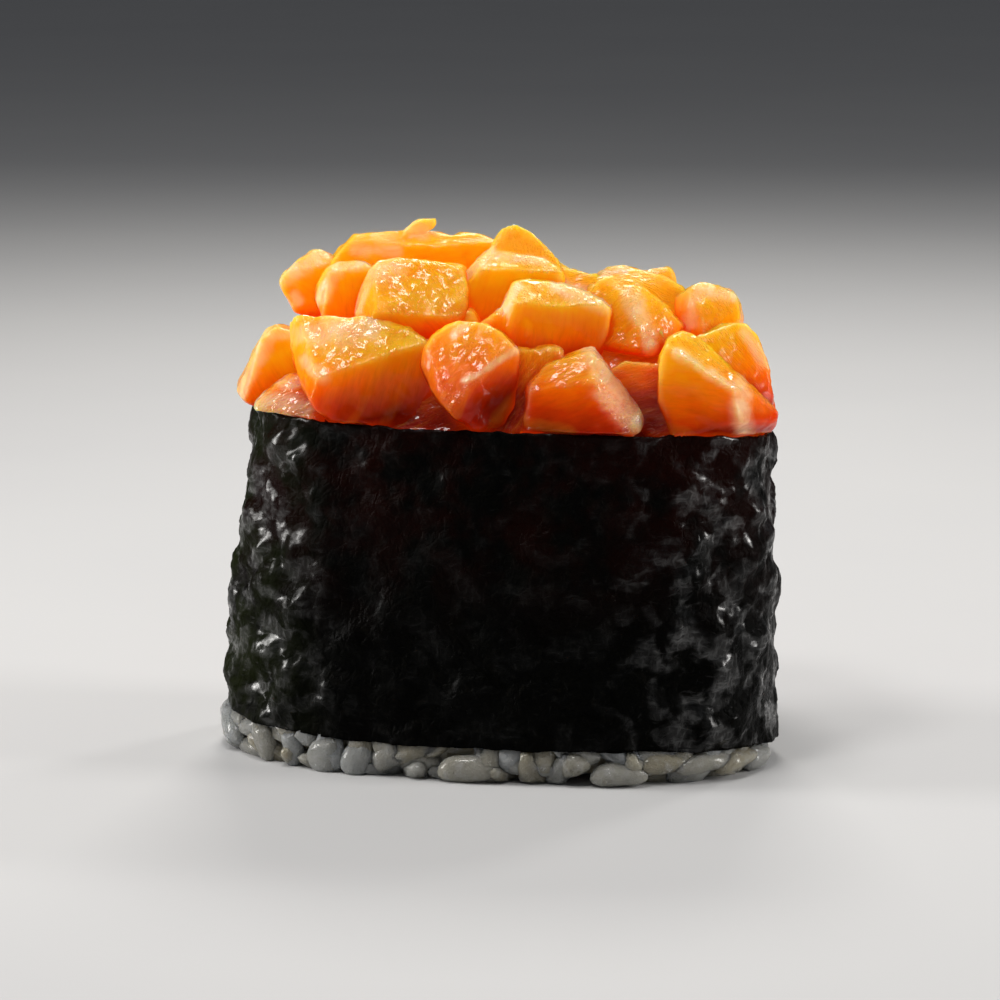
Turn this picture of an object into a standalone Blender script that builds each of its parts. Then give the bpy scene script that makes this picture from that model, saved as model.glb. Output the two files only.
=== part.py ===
"""Salmon gunkan sushi: a ball of rice wrapped in a strip of nori and heaped with cut pieces of raw salmon.

Blender 4.5, metres, +Z up. The long side runs along X and the side that is met first faces -Y.
The origin is at the middle of the bounding box's bottom, so the sushi stands on the plane z = 0.
The sizes below are in millimetres and become metres where the meshes are made.
"""

import itertools
import math
import random

import bmesh
import bpy
from mathutils import Euler, Matrix, Vector

MM = 0.001

# The wrap, seen from above, is a rounded oblong (a superellipse) that narrows and leans as it rises.
WRAP_HALF_LENGTH_LOW = 28.0
WRAP_HALF_LENGTH_HIGH = 26.1
WRAP_HALF_WIDTH_LOW = 15.9
WRAP_HALF_WIDTH_HIGH = 15.0
WRAP_SQUARENESS = 2.5
WRAP_LEAN = 1.6
WRAP_BELLY = 0.45
RIM_LOW = 3.3
RIM_HIGH = 33.7

# The damp sheet buckles gently over the rice: waves as (size, round the wrap, up the wrap, start).
BUCKLES = [
    (0.12, 9, 5, 0.0),
    (0.084, 16, -7, 1.3),
    (0.06, 5, 13, 0.6),
]
BUCKLE_REACH = sum(buckle[0] for buckle in BUCKLES)

# The strip of nori is wrapped once round and a little further, and its ends lap at the back.
NORI_THICKNESS = 0.4
LAP_GAP = 0.3
LAP_START = math.radians(62)
LAP_LENGTH = math.radians(34)
LAP_RAMP = math.radians(14)
NORI_COLUMNS = 104
NORI_ROWS = 5

# Pieces that touch keep this gap.
GAP = 0.3

# The rice stands on a flat bottom, bulges out grain by grain below the wrap and fills it from inside.
# Its rings below the wrap: share of the height, how far out, how far its grains bulge, which row of grains.
RICE_TOP = 27.6
RICE_UNDER_NORI = 0.45
RICE_GRAINS_ROUND = 40
RICE_COLUMNS = 160
RICE_WALL_BUMP = 0.3
RICE_RINGS = [
    (0.0, -1.6, 0.5, 0),
    (0.14, -0.9, 0.9, 0),
    (0.34, -0.35, 1.1, 0),
    (0.52, -0.3, 0.5, 0),
    (0.72, -0.1, 1.0, 1),
    (1.0, -0.4, 0.9, 1),
]

# The salmon is cut in blocks with soft edges, whose faces are off square by a few degrees.
# Each block is cut to the shape between its neighbours, of which the earlier one stays the firmer.
SALMON_EDGE = 0.9
SALMON_FACE_TILT = 7.0
FIRMNESS = 0.9
CUP_SIDES = 28
LOW_SALMON = 33.0
HIGH_SALMON = 47.0

# Each piece of salmon: its name, its middle, its size along its own axes, how far it is turned about
# X, Y and Z in degrees, how far its left and right ends slant outwards at the top, and how far the
# planes that seat it in the wrap flare (at 90 it lies wholly on top of the wrap's edge).
SALMON = [
    ("upper_left_block", (-7.8, -4.0, 44.2), (10.5, 9.0, 7.4), (28, 5, 14), (-8, 8), 24),
    ("front_banded", (-1.2, -10.6, 38.0), (8.4, 7.6, 10.6), (14, 22, 14), (0, 4), 24),
    ("front_left_block", (-12.0, -8.5, 38.4), (13.5, 10.5, 10.4), (22, 14, 22), (26, 20), 24),
    ("front_wedge", (10.0, -10.0, 36.5), (10.4, 8.6, 9.5), (10, -12, 8), (-28, -32), 24),
    ("front_right_block", (21.6, -6.2, 36.5), (12.0, 10.0, 7.2), (16, 39, 10), (48, 10), 50),
    ("middle_block", (4.9, -3.9, 42.2), (12.2, 9.5, 8.8), (13, 4, 12), (-36, 18), 24),
    ("peak", (2.4, 0.2, 46.6), (10.6, 10.5, 10.4), (10, 0, 12), (-33, -38), 24),
    ("right_inner", (15.0, -2.4, 43.4), (9.8, 8.6, 6.8), (26, 28, 10), (0, 0), 24),
    ("left_overhang", (-22.1, -3.4, 38.2), (5.2, 8.4, 6.6), (0, 28, 12), (0, 0), 90),
    ("left_round", (-15.5, -0.6, 44.6), (6.4, 6.6, 7.0), (10, 0, 14), (-8, 0), 24),
    ("left_top", (-18.8, 5.0, 44.9), (7.4, 8.5, 6.4), (0, -36, 12), (0, 0), 24),
    ("top_slab", (-9.6, 6.4, 46.6), (16.4, 10.0, 7.0), (-5, -4, 10), (-24, -10), 24),
    ("right_knob", (20.4, 4.0, 42.0), (6.4, 8.5, 6.6), (10, 14, 13), (0, 0), 24),
    ("behind_middle", (9.6, 4.2, 42.6), (8.4, 9.0, 8.4), (0, 6, 10), (0, 0), 24),
    ("right_top", (14.8, 5.8, 42.4), (10.0, 9.0, 8.4), (12, 12, 10), (-10, 0), 24),
    ("right_side", (22.0, 4.2, 38.0), (9.0, 11.0, 11.0), (0, 8, 10), (0, -14), 30),
    ("right_middle", (21.6, -1.4, 39.2), (8.5, 8.0, 9.0), (12, 30, 10), (0, 0), 24),
    ("pocket_lower", (16.0, -6.6, 35.6), (9.5, 9.0, 9.0), (6, 0, 10), (0, 0), 24),
    ("pocket_upper", (13.6, -3.2, 38.6), (9.0, 9.5, 8.0), (10, 0, 10), (0, 0), 24),
    ("left_rim", (-19.6, -6.8, 34.2), (10.0, 8.5, 7.5), (10, -6, 20), (0, 0), 24),
    ("low_left", (-7.4, -9.6, 34.4), (15.0, 9.0, 9.5), (6, 2, 10), (0, 0), 24),
    ("low_middle", (3.4, -7.6, 35.8), (10.0, 9.0, 9.5), (4, 0, 10), (0, 0), 24),
    ("deep_left", (-8.4, 0.2, 37.6), (11.5, 9.5, 12.0), (0, 0, 6), (0, 0), 24),
    ("deep_far_left", (-18.4, 1.0, 37.6), (11.0, 10.0, 12.0), (0, 0, -6), (0, 0), 24),
    ("deep_right", (10.4, 1.6, 36.6), (12.0, 9.5, 11.0), (0, 0, 8), (0, 0), 24),
    ("deep_middle", (1.0, 1.6, 37.8), (9.5, 9.5, 12.0), (0, 0, -4), (0, 0), 24),
    ("back_left_block", (-19.6, 9.0, 38.2), (13.0, 11.0, 12.5), (-6, 10, -22), (0, 0), 24),
    ("back_banded", (-8.4, 10.4, 38.2), (12.5, 10.5, 13.0), (-10, -8, -8), (0, 0), 24),
    ("back_wedge", (3.4, 10.6, 37.2), (13.0, 10.5, 12.4), (-8, 18, 6), (0, 0), 24),
    ("back_right_block", (14.8, 9.4, 37.6), (13.0, 11.0, 12.5), (-6, -14, 14), (0, 0), 24),
    ("back_upper", (0.0, 8.6, 43.8), (10.5, 10.0, 8.4), (-20, 8, -12), (0, 0), 24),
    ("back_right_top", (10.8, 10.0, 41.8), (11.0, 9.0, 8.0), (-20, -10, 18), (0, 0), 24),
]

# The torn flake that stands up from the top slab: where it leaves the slab, how deep it is rooted, how far
# it leans over to the right and rises, and how wide and thick it is at its foot.
FLAKE_FOOT = (-9.9, 3.4, 49.9)
FLAKE_ROOT = 0.8
FLAKE_LEAN = 2.5
FLAKE_RISE = 2.6
FLAKE_WIDTH = 1.2
FLAKE_THICKNESS = 0.5
FLAKE_RINGS = 6
FLAKE_SIDES = 8

NORI_COLOUR = (0.006, 0.009, 0.005)
NORI_ROUGHNESS = 0.35
RICE_COLOUR = (0.78, 0.76, 0.68)
RICE_ROUGHNESS = 0.4
SALMON_GOLD = (0.95, 0.36, 0.03)
SALMON_RED = (0.72, 0.10, 0.01)
SALMON_ROUGHNESS = 0.3


def low_rim(angle):
    """Height of the wrap's lower edge, which hangs lower at the right end and is lifted at the left."""
    first = -1.45 * math.cos(angle) - 0.3 * math.sin(angle)
    second = 0.2 * math.cos(2 * angle) - 0.8 * math.sin(2 * angle)
    return RIM_LOW + first + second


def high_rim(angle):
    """Height of the wrap's upper edge, which dips towards the right and towards the back."""
    first = -0.9 * math.cos(angle) - 1.0 * math.sin(angle)
    second = 0.17 * math.cos(2 * angle) - 0.4 * math.sin(2 * angle)
    return RIM_HIGH + first + second


def superellipse(angle, half_length, half_width):
    """A point on the rounded oblong, as x and y."""
    power = 2 / WRAP_SQUARENESS
    cosine = math.cos(angle)
    sine = math.sin(angle)
    x = half_length * math.copysign(abs(cosine) ** power, cosine)
    y = half_width * math.copysign(abs(sine) ** power, sine)
    return x, y


def wrap_point(angle, z, out=0.0):
    """A point on the smooth face of the wrap at height z, moved outwards by out."""
    rise = z / RIM_HIGH
    belly = WRAP_BELLY * math.sin(math.pi * min(max(rise, 0.0), 1.0))
    half_length = WRAP_HALF_LENGTH_LOW + rise * (WRAP_HALF_LENGTH_HIGH - WRAP_HALF_LENGTH_LOW)
    half_width = WRAP_HALF_WIDTH_LOW + rise * (WRAP_HALF_WIDTH_HIGH - WRAP_HALF_WIDTH_LOW)
    x, y = superellipse(angle, half_length + belly + out, half_width + belly + out)
    return Vector((x + WRAP_LEAN * rise, y, z))


def buckle(angle, z):
    """How far the sheet stands out from the smooth wrap at this place."""
    rise = z / RIM_HIGH
    return sum(size * math.sin(around * angle + up * rise + start) for size, around, up, start in BUCKLES)


def wall(angle, z, further_in=0.0):
    """A point that clears the inside of the wrap by the gap, or by more."""
    return wrap_point(angle, z, -NORI_THICKNESS - GAP - BUCKLE_REACH - further_in)


def ring_faces(rings, sides):
    """Faces that join rings of points, one ring after the other, going round."""
    faces = []
    for ring in range(rings - 1):
        for side in range(sides):
            after = (side + 1) % sides
            low = ring * sides
            high = low + sides
            faces.append([low + side, low + after, high + after, high + side])
    return faces


def capped(faces, rings, sides):
    """The same faces with the first and the last ring closed."""
    last = (rings - 1) * sides
    return faces + [list(range(sides))[::-1], list(range(last, last + sides))]


def make_object(name, mesh, colour, roughness):
    material = bpy.data.materials.new(name)
    material.use_nodes = True
    shader = material.node_tree.nodes["Principled BSDF"]
    shader.inputs["Base Color"].default_value = (*colour, 1.0)
    shader.inputs["Roughness"].default_value = roughness
    shader.inputs["Metallic"].default_value = 0.0
    mesh.materials.append(material)
    thing = bpy.data.objects.new(name, mesh)
    bpy.context.scene.collection.objects.link(thing)
    return thing


def mesh_from(name, points, faces):
    mesh = bpy.data.meshes.new(name)
    mesh.from_pydata([Vector(point) * MM for point in points], [], faces)
    mesh.update()
    return mesh


def nori_points():
    """Pairs of points, outer and inner, up each column of the strip and along it."""
    turn = 2 * math.pi + LAP_LENGTH
    points = []
    for column in range(NORI_COLUMNS + 1):
        along = turn * column / NORI_COLUMNS
        angle = LAP_START + along
        ramp = min(max((along - 2 * math.pi + LAP_RAMP) / LAP_RAMP, 0.0), 1.0)
        lift = (NORI_THICKNESS + LAP_GAP) * ramp * ramp * (3 - 2 * ramp)
        for row in range(NORI_ROWS + 1):
            z = low_rim(angle) + (high_rim(angle) - low_rim(angle)) * row / NORI_ROWS
            out = lift + buckle(angle, z)
            points.append(wrap_point(angle, z, out))
            points.append(wrap_point(angle, z, out - NORI_THICKNESS))
    return points


def make_nori():
    """The strip of nori as one closed solid: its two faces, its upper and lower edges and its two ends."""

    def at(column, row, inner):
        return (column * (NORI_ROWS + 1) + row) * 2 + inner

    faces = []
    for column in range(NORI_COLUMNS):
        on = column + 1
        for row in range(NORI_ROWS):
            up = row + 1
            faces.append([at(column, row, 0), at(on, row, 0), at(on, up, 0), at(column, up, 0)])
            faces.append([at(column, row, 1), at(column, up, 1), at(on, up, 1), at(on, row, 1)])
        faces.append([at(column, 0, 0), at(column, 0, 1), at(on, 0, 1), at(on, 0, 0)])
        top = NORI_ROWS
        faces.append([at(column, top, 0), at(on, top, 0), at(on, top, 1), at(column, top, 1)])
    for row in range(NORI_ROWS):
        up = row + 1
        end = NORI_COLUMNS
        faces.append([at(0, row, 0), at(0, up, 0), at(0, up, 1), at(0, row, 1)])
        faces.append([at(end, row, 0), at(end, row, 1), at(end, up, 1), at(end, up, 0)])
    make_object("nori", mesh_from("nori", nori_points(), faces), NORI_COLOUR, NORI_ROUGHNESS)


def grain_lump(angle, row):
    """The rounded bumps of one row of grains around the rice: 0 between grains, 1 on their backs."""
    uneven = angle + 0.035 * math.sin(5 * angle + row) + 0.02 * math.sin(11 * angle + 2 * row)
    return abs(math.sin(RICE_GRAINS_ROUND / 2 * uneven + row * math.pi / 2)) ** 0.7


def make_rice():
    """Rings from the flat bottom up to the top, joined into one closed solid."""
    angles = [2 * math.pi * column / RICE_COLUMNS for column in range(RICE_COLUMNS)]
    points = []
    for share, out, bump, row in RICE_RINGS:
        for angle in angles:
            z = share * (low_rim(angle) - RICE_UNDER_NORI)
            points.append(wrap_point(angle, z, out + bump * grain_lump(angle, row)))
    for share in (0.0, 0.5, 1.0):
        for angle in angles:
            start = low_rim(angle) - GAP
            z = start + (RICE_TOP - start) * share
            points.append(wall(angle, z, RICE_WALL_BUMP * grain_lump(angle, share)))
    rings = len(RICE_RINGS) + 3
    faces = capped(ring_faces(rings, RICE_COLUMNS), rings, RICE_COLUMNS)
    make_object("rice", mesh_from("rice", points, faces), RICE_COLOUR, RICE_ROUGHNESS)


def cup_planes(flare):
    """Slanting planes through the wrap's inner upper edge: what is kept inside them clears the wrap."""
    tilt = math.radians(flare)
    planes = []
    for side in range(CUP_SIDES):
        angle = 2 * math.pi * side / CUP_SIDES
        rim = high_rim(angle)
        along = wall(angle + 0.01, rim) - wall(angle - 0.01, rim)
        outward = Vector((along.y, -along.x, 0)).normalized()
        over = Vector((0, 0, GAP * math.sin(tilt)))
        planes.append((wall(angle, rim) + over, outward * math.cos(tilt) - Vector((0, 0, math.sin(tilt)))))
    return planes


def block_planes(seed, middle, size, turn, slant):
    """The six cut faces of a block, each a little off square as a knife leaves them."""
    chance = random.Random(seed)
    rotation = Euler([math.radians(angle) for angle in turn]).to_matrix()
    planes = []
    for axis, sign in itertools.product(range(3), (-1, 1)):
        normal = Vector((0, 0, 0))
        normal[axis] = sign
        tilt = [chance.uniform(-SALMON_FACE_TILT, SALMON_FACE_TILT) for _ in range(3)]
        if axis == 0:
            tilt[1] = sign * slant[(sign + 1) // 2]
        lean = Euler([math.radians(angle) for angle in tilt]).to_matrix()
        point = Vector(middle) + rotation @ (normal * size[axis] / 2)
        planes.append((point, rotation @ (lean @ normal)))
    return planes


class Piece:
    """A convex piece of salmon, kept as the planes it lies behind and the corners they make."""

    def __init__(self, name, planes):
        self.name = name
        self.planes = []
        self.trim(planes)

    def trim(self, planes):
        self.planes = bounding(self.planes + planes)
        self.corners = corners_of(self.planes)

    def middle(self):
        return sum(self.corners, Vector()) / len(self.corners)


def corners_of(planes):
    """The corners of the convex shape that lies behind all the planes."""
    found = []
    for three in itertools.combinations(planes, 3):
        normals = Matrix([normal for _, normal in three])
        if abs(normals.determinant()) < 1e-4:
            continue
        corner = normals.inverted() @ Vector([point.dot(normal) for point, normal in three])
        if all((corner - point).dot(normal) < 1e-4 for point, normal in planes):
            found.append(corner)
    return found


def bounding(planes):
    """Those of the planes that really bound the shape behind them all."""
    corners = corners_of(planes)
    kept = []
    for point, normal in planes:
        on_plane = [corner for corner in corners if abs((corner - point).dot(normal)) < 1e-3]
        if len(on_plane) > 2:
            kept.append((point, normal))
    return kept


def volume_behind(planes):
    """The volume of the convex shape behind all the planes."""
    shape = bmesh.new()
    for corner in corners_of(planes):
        shape.verts.new(corner)
    volume = 0.0
    if len(shape.verts) > 3:
        bmesh.ops.convex_hull(shape, input=shape.verts[:])
        volume = abs(shape.calc_volume())
    shape.free()
    return volume


def part(one, other):
    """Trims two pieces that run into each other to a plane, laid where it takes the least away."""
    directions = [normal for _, normal in one.planes]
    directions += [-normal for _, normal in other.planes]
    directions.append((other.middle() - one.middle()).normalized())
    best_volume = -1.0
    for direction in directions:
        reach = max(corner.dot(direction) for corner in one.corners)
        start = min(corner.dot(direction) for corner in other.corners)
        if reach - start <= -GAP:
            return
        between = start + (reach - start) * FIRMNESS
        for_one = (direction * (between - GAP / 2), direction)
        for_other = (direction * (between + GAP / 2), -direction)
        volume = volume_behind(one.planes + [for_one]) + volume_behind(other.planes + [for_other])
        if volume > best_volume:
            best_volume = volume
            best = (for_one, for_other)
    one.trim([best[0]])
    other.trim([best[1]])


def softened(name, planes):
    """The shape behind the planes with its edges rounded: a smaller shape grown by a ball."""
    ball = bmesh.new()
    bmesh.ops.create_icosphere(ball, subdivisions=1, radius=SALMON_EDGE)
    offsets = [vertex.co.copy() for vertex in ball.verts]
    ball.free()
    shape = bmesh.new()
    for corner in corners_of([(point - normal * SALMON_EDGE, normal) for point, normal in planes]):
        for offset in offsets:
            shape.verts.new((corner + offset) * MM)
    bmesh.ops.convex_hull(shape, input=shape.verts[:])
    inside = [vertex for vertex in shape.verts if not vertex.link_faces]
    bmesh.ops.delete(shape, geom=inside, context="VERTS")
    bmesh.ops.remove_doubles(shape, verts=shape.verts[:], dist=0.02 * MM)
    bmesh.ops.dissolve_limit(shape, angle_limit=math.radians(1.0), verts=shape.verts[:], edges=shape.edges[:])
    bmesh.ops.triangulate(shape, faces=shape.faces[:])
    bmesh.ops.recalc_face_normals(shape, faces=shape.faces[:])
    mesh = bpy.data.meshes.new(name)
    shape.to_mesh(mesh)
    shape.free()
    return mesh


def make_salmon():
    """Cuts the pieces, trims them to the wrap and the rice, and then to one another."""
    on_rice = (Vector((0, 0, RICE_TOP + GAP)), Vector((0, 0, -1)))
    pieces = []
    for seed, (name, middle, size, turn, slant, flare) in enumerate(SALMON, 100):
        planes = block_planes(seed, middle, size, turn, slant)
        pieces.append(Piece("salmon_" + name, planes + cup_planes(flare) + [on_rice]))
    for one, other in itertools.combinations(pieces, 2):
        part(one, other)
    for piece in pieces:
        gold = min(max((piece.middle().z - LOW_SALMON) / (HIGH_SALMON - LOW_SALMON), 0.0), 1.0)
        colour = [low + gold * (high - low) for low, high in zip(SALMON_RED, SALMON_GOLD)]
        make_object(piece.name, softened(piece.name, piece.planes), colour, SALMON_ROUGHNESS)


def flake_points():
    """Rings of an oval that thins out as it rises and curls over."""
    points = []
    for ring in range(FLAKE_RINGS):
        share = ring / (FLAKE_RINGS - 1)
        x = FLAKE_FOOT[0] + FLAKE_LEAN * share ** 1.7
        z = FLAKE_FOOT[2] - FLAKE_ROOT + (FLAKE_RISE + FLAKE_ROOT) * math.sin(share * math.pi / 2)
        thin = 1 - 0.8 * share ** 1.5
        for side in range(FLAKE_SIDES):
            angle = 2 * math.pi * side / FLAKE_SIDES
            across = FLAKE_WIDTH * thin * math.cos(angle)
            through = FLAKE_THICKNESS * thin * math.sin(angle)
            points.append((x + across * (1 - 0.6 * share), FLAKE_FOOT[1] + through, z - 0.7 * across * share))
    return points


def add_flake(slab):
    """Joins the torn flake to the slab it stands on."""
    faces = capped(ring_faces(FLAKE_RINGS, FLAKE_SIDES), FLAKE_RINGS, FLAKE_SIDES)
    mesh = mesh_from("flake_to_join", flake_points(), faces)
    flake = make_object("flake_to_join", mesh, SALMON_GOLD, SALMON_ROUGHNESS)
    flake.hide_render = True
    flake.display_type = "WIRE"
    joint = slab.modifiers.new("flake", "BOOLEAN")
    joint.operation = "UNION"
    joint.solver = "EXACT"
    joint.object = flake


def centre_on_origin():
    """Moves everything so that the origin is at the middle of the bounding box's bottom."""
    things = list(bpy.context.scene.collection.objects)
    points = [vertex.co for thing in things for vertex in thing.data.vertices]
    low = [min(point[axis] for point in points) for axis in range(3)]
    high = [max(point[axis] for point in points) for axis in range(3)]
    for thing in things:
        thing.location = (-(low[0] + high[0]) / 2, -(low[1] + high[1]) / 2, -low[2])


def main():
    for thing in list(bpy.data.objects):
        bpy.data.objects.remove(thing, do_unlink=True)
    make_nori()
    make_rice()
    make_salmon()
    add_flake(bpy.data.objects["salmon_top_slab"])
    centre_on_origin()


main()
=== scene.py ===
# %% [markdown]
# # A salmon gunkan sushi
# A gunkan is a small oval bed of vinegared rice with a strip of nori (pressed dried seaweed) stood up
# round it, like the side of a boat, and a loose topping heaped inside the rim. Here the topping is raw
# salmon cut into soft-edged blocks the size of a fingertip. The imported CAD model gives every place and
# size. This script gives each piece its real surface: buckled nori, single grains of rice and wet flesh.

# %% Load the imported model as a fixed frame
import math

import bmesh
import bpy
from mathutils import Euler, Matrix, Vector


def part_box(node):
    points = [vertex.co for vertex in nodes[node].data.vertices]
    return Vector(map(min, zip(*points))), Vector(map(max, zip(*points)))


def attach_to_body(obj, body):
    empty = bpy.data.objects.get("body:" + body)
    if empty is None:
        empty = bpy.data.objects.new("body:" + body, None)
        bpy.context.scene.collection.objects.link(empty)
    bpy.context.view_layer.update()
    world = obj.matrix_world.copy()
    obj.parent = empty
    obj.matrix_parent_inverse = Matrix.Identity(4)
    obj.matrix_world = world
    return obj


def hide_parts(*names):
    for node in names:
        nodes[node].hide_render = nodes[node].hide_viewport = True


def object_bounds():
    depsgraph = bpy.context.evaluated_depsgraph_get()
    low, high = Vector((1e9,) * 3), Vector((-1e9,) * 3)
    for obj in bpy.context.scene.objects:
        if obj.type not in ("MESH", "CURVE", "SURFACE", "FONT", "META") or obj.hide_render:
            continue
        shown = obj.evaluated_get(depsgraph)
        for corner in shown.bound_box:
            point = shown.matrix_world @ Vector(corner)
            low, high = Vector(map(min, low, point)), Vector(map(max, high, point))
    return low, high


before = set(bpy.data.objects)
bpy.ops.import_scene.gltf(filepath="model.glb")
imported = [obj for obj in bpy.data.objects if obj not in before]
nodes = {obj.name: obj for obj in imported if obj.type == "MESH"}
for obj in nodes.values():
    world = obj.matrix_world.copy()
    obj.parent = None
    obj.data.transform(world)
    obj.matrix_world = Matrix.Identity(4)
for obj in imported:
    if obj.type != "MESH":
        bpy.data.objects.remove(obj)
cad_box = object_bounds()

MM = 0.001
print(len(nodes), "CAD nodes, box in mm:", [[round(n / MM, 2) for n in corner] for corner in cad_box])

# %% [markdown]
# ## Camera, floor and light
# The sushi is met a little from its right and from just above the rim of the wrap, through a long lens,
# so that the upright wrap keeps its straight sides. Light comes as it does on a dark dish: a broad soft
# lamp above and behind makes the wet flesh glow at its edges, one tall soft lamp at each side draws the
# crinkles at the two ends of the wrap, and a weak lamp in front, high up, fills the faces of the salmon
# without shining in the middle of the wrap.

# %% Camera
VIEW_AROUND = math.radians(13.0)
VIEW_ABOVE = math.radians(10.5)
VIEW_DISTANCE = 0.4
LENS = 144.0
AIM = Vector((0.18, 0.40, 25.07)) * MM

away = Vector(
    (
        math.sin(VIEW_AROUND) * math.cos(VIEW_ABOVE),
        -math.cos(VIEW_AROUND) * math.cos(VIEW_ABOVE),
        math.sin(VIEW_ABOVE),
    )
)
scene = bpy.context.scene
camera = bpy.data.objects.new("view", bpy.data.cameras.new("view"))
camera.data.lens = LENS
camera.data.clip_start = 0.01
camera.location = AIM + away * VIEW_DISTANCE
camera.rotation_euler = away.to_track_quat("Z", "Y").to_euler()
scene.collection.objects.link(camera)
scene.camera = camera
scene.view_settings.view_transform = "Standard"
print("camera at", [round(n / MM) for n in camera.location], "mm")


# %% Lamps
def soft_lamp(name, around, above, distance, width, height, watts, colour=(1.0, 1.0, 1.0)):
    """A rectangular soft lamp that looks at the sushi from this many degrees around it and above it."""
    around, above = math.radians(around), math.radians(above)
    towards = Vector((math.sin(around) * math.cos(above), -math.cos(around) * math.cos(above), math.sin(above)))
    lamp = bpy.data.objects.new(name, bpy.data.lights.new(name, "AREA"))
    lamp.data.shape = "RECTANGLE"
    lamp.data.size, lamp.data.size_y = width, height
    lamp.data.energy = watts
    lamp.data.color = colour
    lamp.location = Vector((0, 0, 0.03)) + towards * distance
    lamp.rotation_euler = towards.to_track_quat("Z", "Y").to_euler()
    scene.collection.objects.link(lamp)


soft_lamp("lamp_behind", 190, 42, 0.42, 0.14, 0.10, 0.8, (1.0, 0.97, 0.92))
soft_lamp("lamp_above", -40, 82, 0.40, 0.12, 0.09, 0.62, (1.0, 0.98, 0.95))
soft_lamp("lamp_glint", 150, 44, 0.42, 0.05, 0.05, 0.3, (1.0, 0.98, 0.95))
soft_lamp("lamp_left", -78, 16, 0.36, 0.09, 0.20, 0.95, (1.0, 0.98, 0.95))
soft_lamp("lamp_right", 92, 16, 0.36, 0.08, 0.20, 0.8, (1.0, 0.98, 0.95))
soft_lamp("lamp_front", -24, 58, 0.42, 0.09, 0.07, 0.45, (1.0, 0.98, 0.95))

world = bpy.data.worlds.new("room")
world.use_nodes = True
world.node_tree.nodes["Background"].inputs["Color"].default_value = (0.30, 0.31, 0.33, 1.0)
world.node_tree.nodes["Background"].inputs["Strength"].default_value = 0.3
scene.world = world

# %% [markdown]
# ## Node maths as Python
# Geometry nodes and materials are both graphs of small nodes. Written out node by node they hide the
# formula, so one class wraps a socket and lets Python's own operators add the nodes. A value that
# holds a vector or a colour goes through Vector Math, and a plain number through Math.


# %% The value class and the node maker
def found(sockets, key):
    """The socket with this place in the list, this identifier or this name."""
    if isinstance(key, int):
        return sockets[key]
    return next((socket for socket in sockets if socket.identifier == key), None) or sockets[key]


class Value:
    """A node's output that + - * / and ** work on."""

    def __init__(self, maker, socket):
        self.maker = maker
        self.socket = socket
        self.wide = socket.type in ("VECTOR", "RGBA")

    def __add__(self, other):
        return self.maker.maths("ADD", self, other)

    def __radd__(self, other):
        return self.maker.maths("ADD", other, self)

    def __sub__(self, other):
        return self.maker.maths("SUBTRACT", self, other)

    def __rsub__(self, other):
        return self.maker.maths("SUBTRACT", other, self)

    def __mul__(self, other):
        return self.maker.maths("MULTIPLY", self, other)

    def __rmul__(self, other):
        return self.maker.maths("MULTIPLY", other, self)

    def __truediv__(self, other):
        return self.maker.maths("DIVIDE", self, other)

    def __pow__(self, other):
        return self.maker.maths("POWER", self, other)

    def __neg__(self):
        return self.maker.maths("MULTIPLY", self, -1.0)


class Maker:
    """Adds nodes to one tree, of a material or of geometry nodes."""

    def __init__(self, tree):
        self.tree = tree

    def add(self, kind, settings=None, inputs=None, output=0):
        """Adds a node: its settings first, then the values or links of its sockets. Gives one output."""
        node = self.tree.nodes.new(kind)
        for name, setting in (settings or {}).items():
            if name == "stops":
                self.set_stops(node.color_ramp, setting)
            else:
                setattr(node, name, setting)
        for key, value in (inputs or {}).items():
            self.feed(found(node.inputs, key), value)
        return Value(self, found(node.outputs, output))

    def feed(self, socket, value):
        if isinstance(value, Value):
            self.tree.links.new(value.socket, socket)
        elif socket.type in ("VECTOR", "RGBA") and isinstance(value, (int, float)):
            socket.default_value = [value] * len(socket.default_value)
        elif socket.type == "RGBA" and len(value) == 3:
            socket.default_value = (*value, 1.0)
        else:
            socket.default_value = value

    def set_stops(self, ramp, stops):
        while len(ramp.elements) < len(stops):
            ramp.elements.new(1.0)
        for element, (place, colour) in zip(ramp.elements, stops):
            element.position = place
            element.color = (*colour, 1.0)

    def maths(self, operation, *values):
        wide = any(value.wide if isinstance(value, Value) else hasattr(value, "__len__") for value in values)
        kind = "ShaderNodeVectorMath" if wide else "ShaderNodeMath"
        output = "Value" if operation in ("DOT_PRODUCT", "LENGTH", "DISTANCE") else 0
        return self.add(kind, {"operation": operation}, dict(enumerate(values)), output)

    def smooth(self, value, low, high):
        """0 below low, 1 above high, and an even slope between them."""
        inputs = {"Value": value, "From Min": low, "From Max": high}
        return self.add("ShaderNodeMapRange", {"interpolation_type": "SMOOTHSTEP"}, inputs)

    def noise(self, place, scale, detail=2.0, roughness=0.5, distortion=0.0, output="Fac"):
        inputs = {"Vector": place, "Scale": scale, "Detail": detail, "Roughness": roughness}
        inputs["Distortion"] = distortion
        return self.add("ShaderNodeTexNoise", {"noise_dimensions": "3D"}, inputs, output)

    def cells(self, place, scale, feature="F1", smoothness=0.5, output="Distance"):
        inputs = {"Vector": place, "Scale": scale}
        if feature == "SMOOTH_F1":
            inputs["Smoothness"] = smoothness
        return self.add("ShaderNodeTexVoronoi", {"feature": feature}, inputs, output)

    def blend(self, share, one, other):
        """A colour between two others."""
        inputs = {"Factor_Float": share, "A_Color": one, "B_Color": other}
        return self.add("ShaderNodeMix", {"data_type": "RGBA"}, inputs, "Result_Color")

    def together(self, x, y, z):
        return self.add("ShaderNodeCombineXYZ", None, {0: x, 1: y, 2: z})

    def apart(self, vector):
        """The three numbers of a vector."""
        split = self.add("ShaderNodeSeparateXYZ", None, {0: vector})
        return [Value(self, socket) for socket in split.socket.node.outputs]


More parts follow.
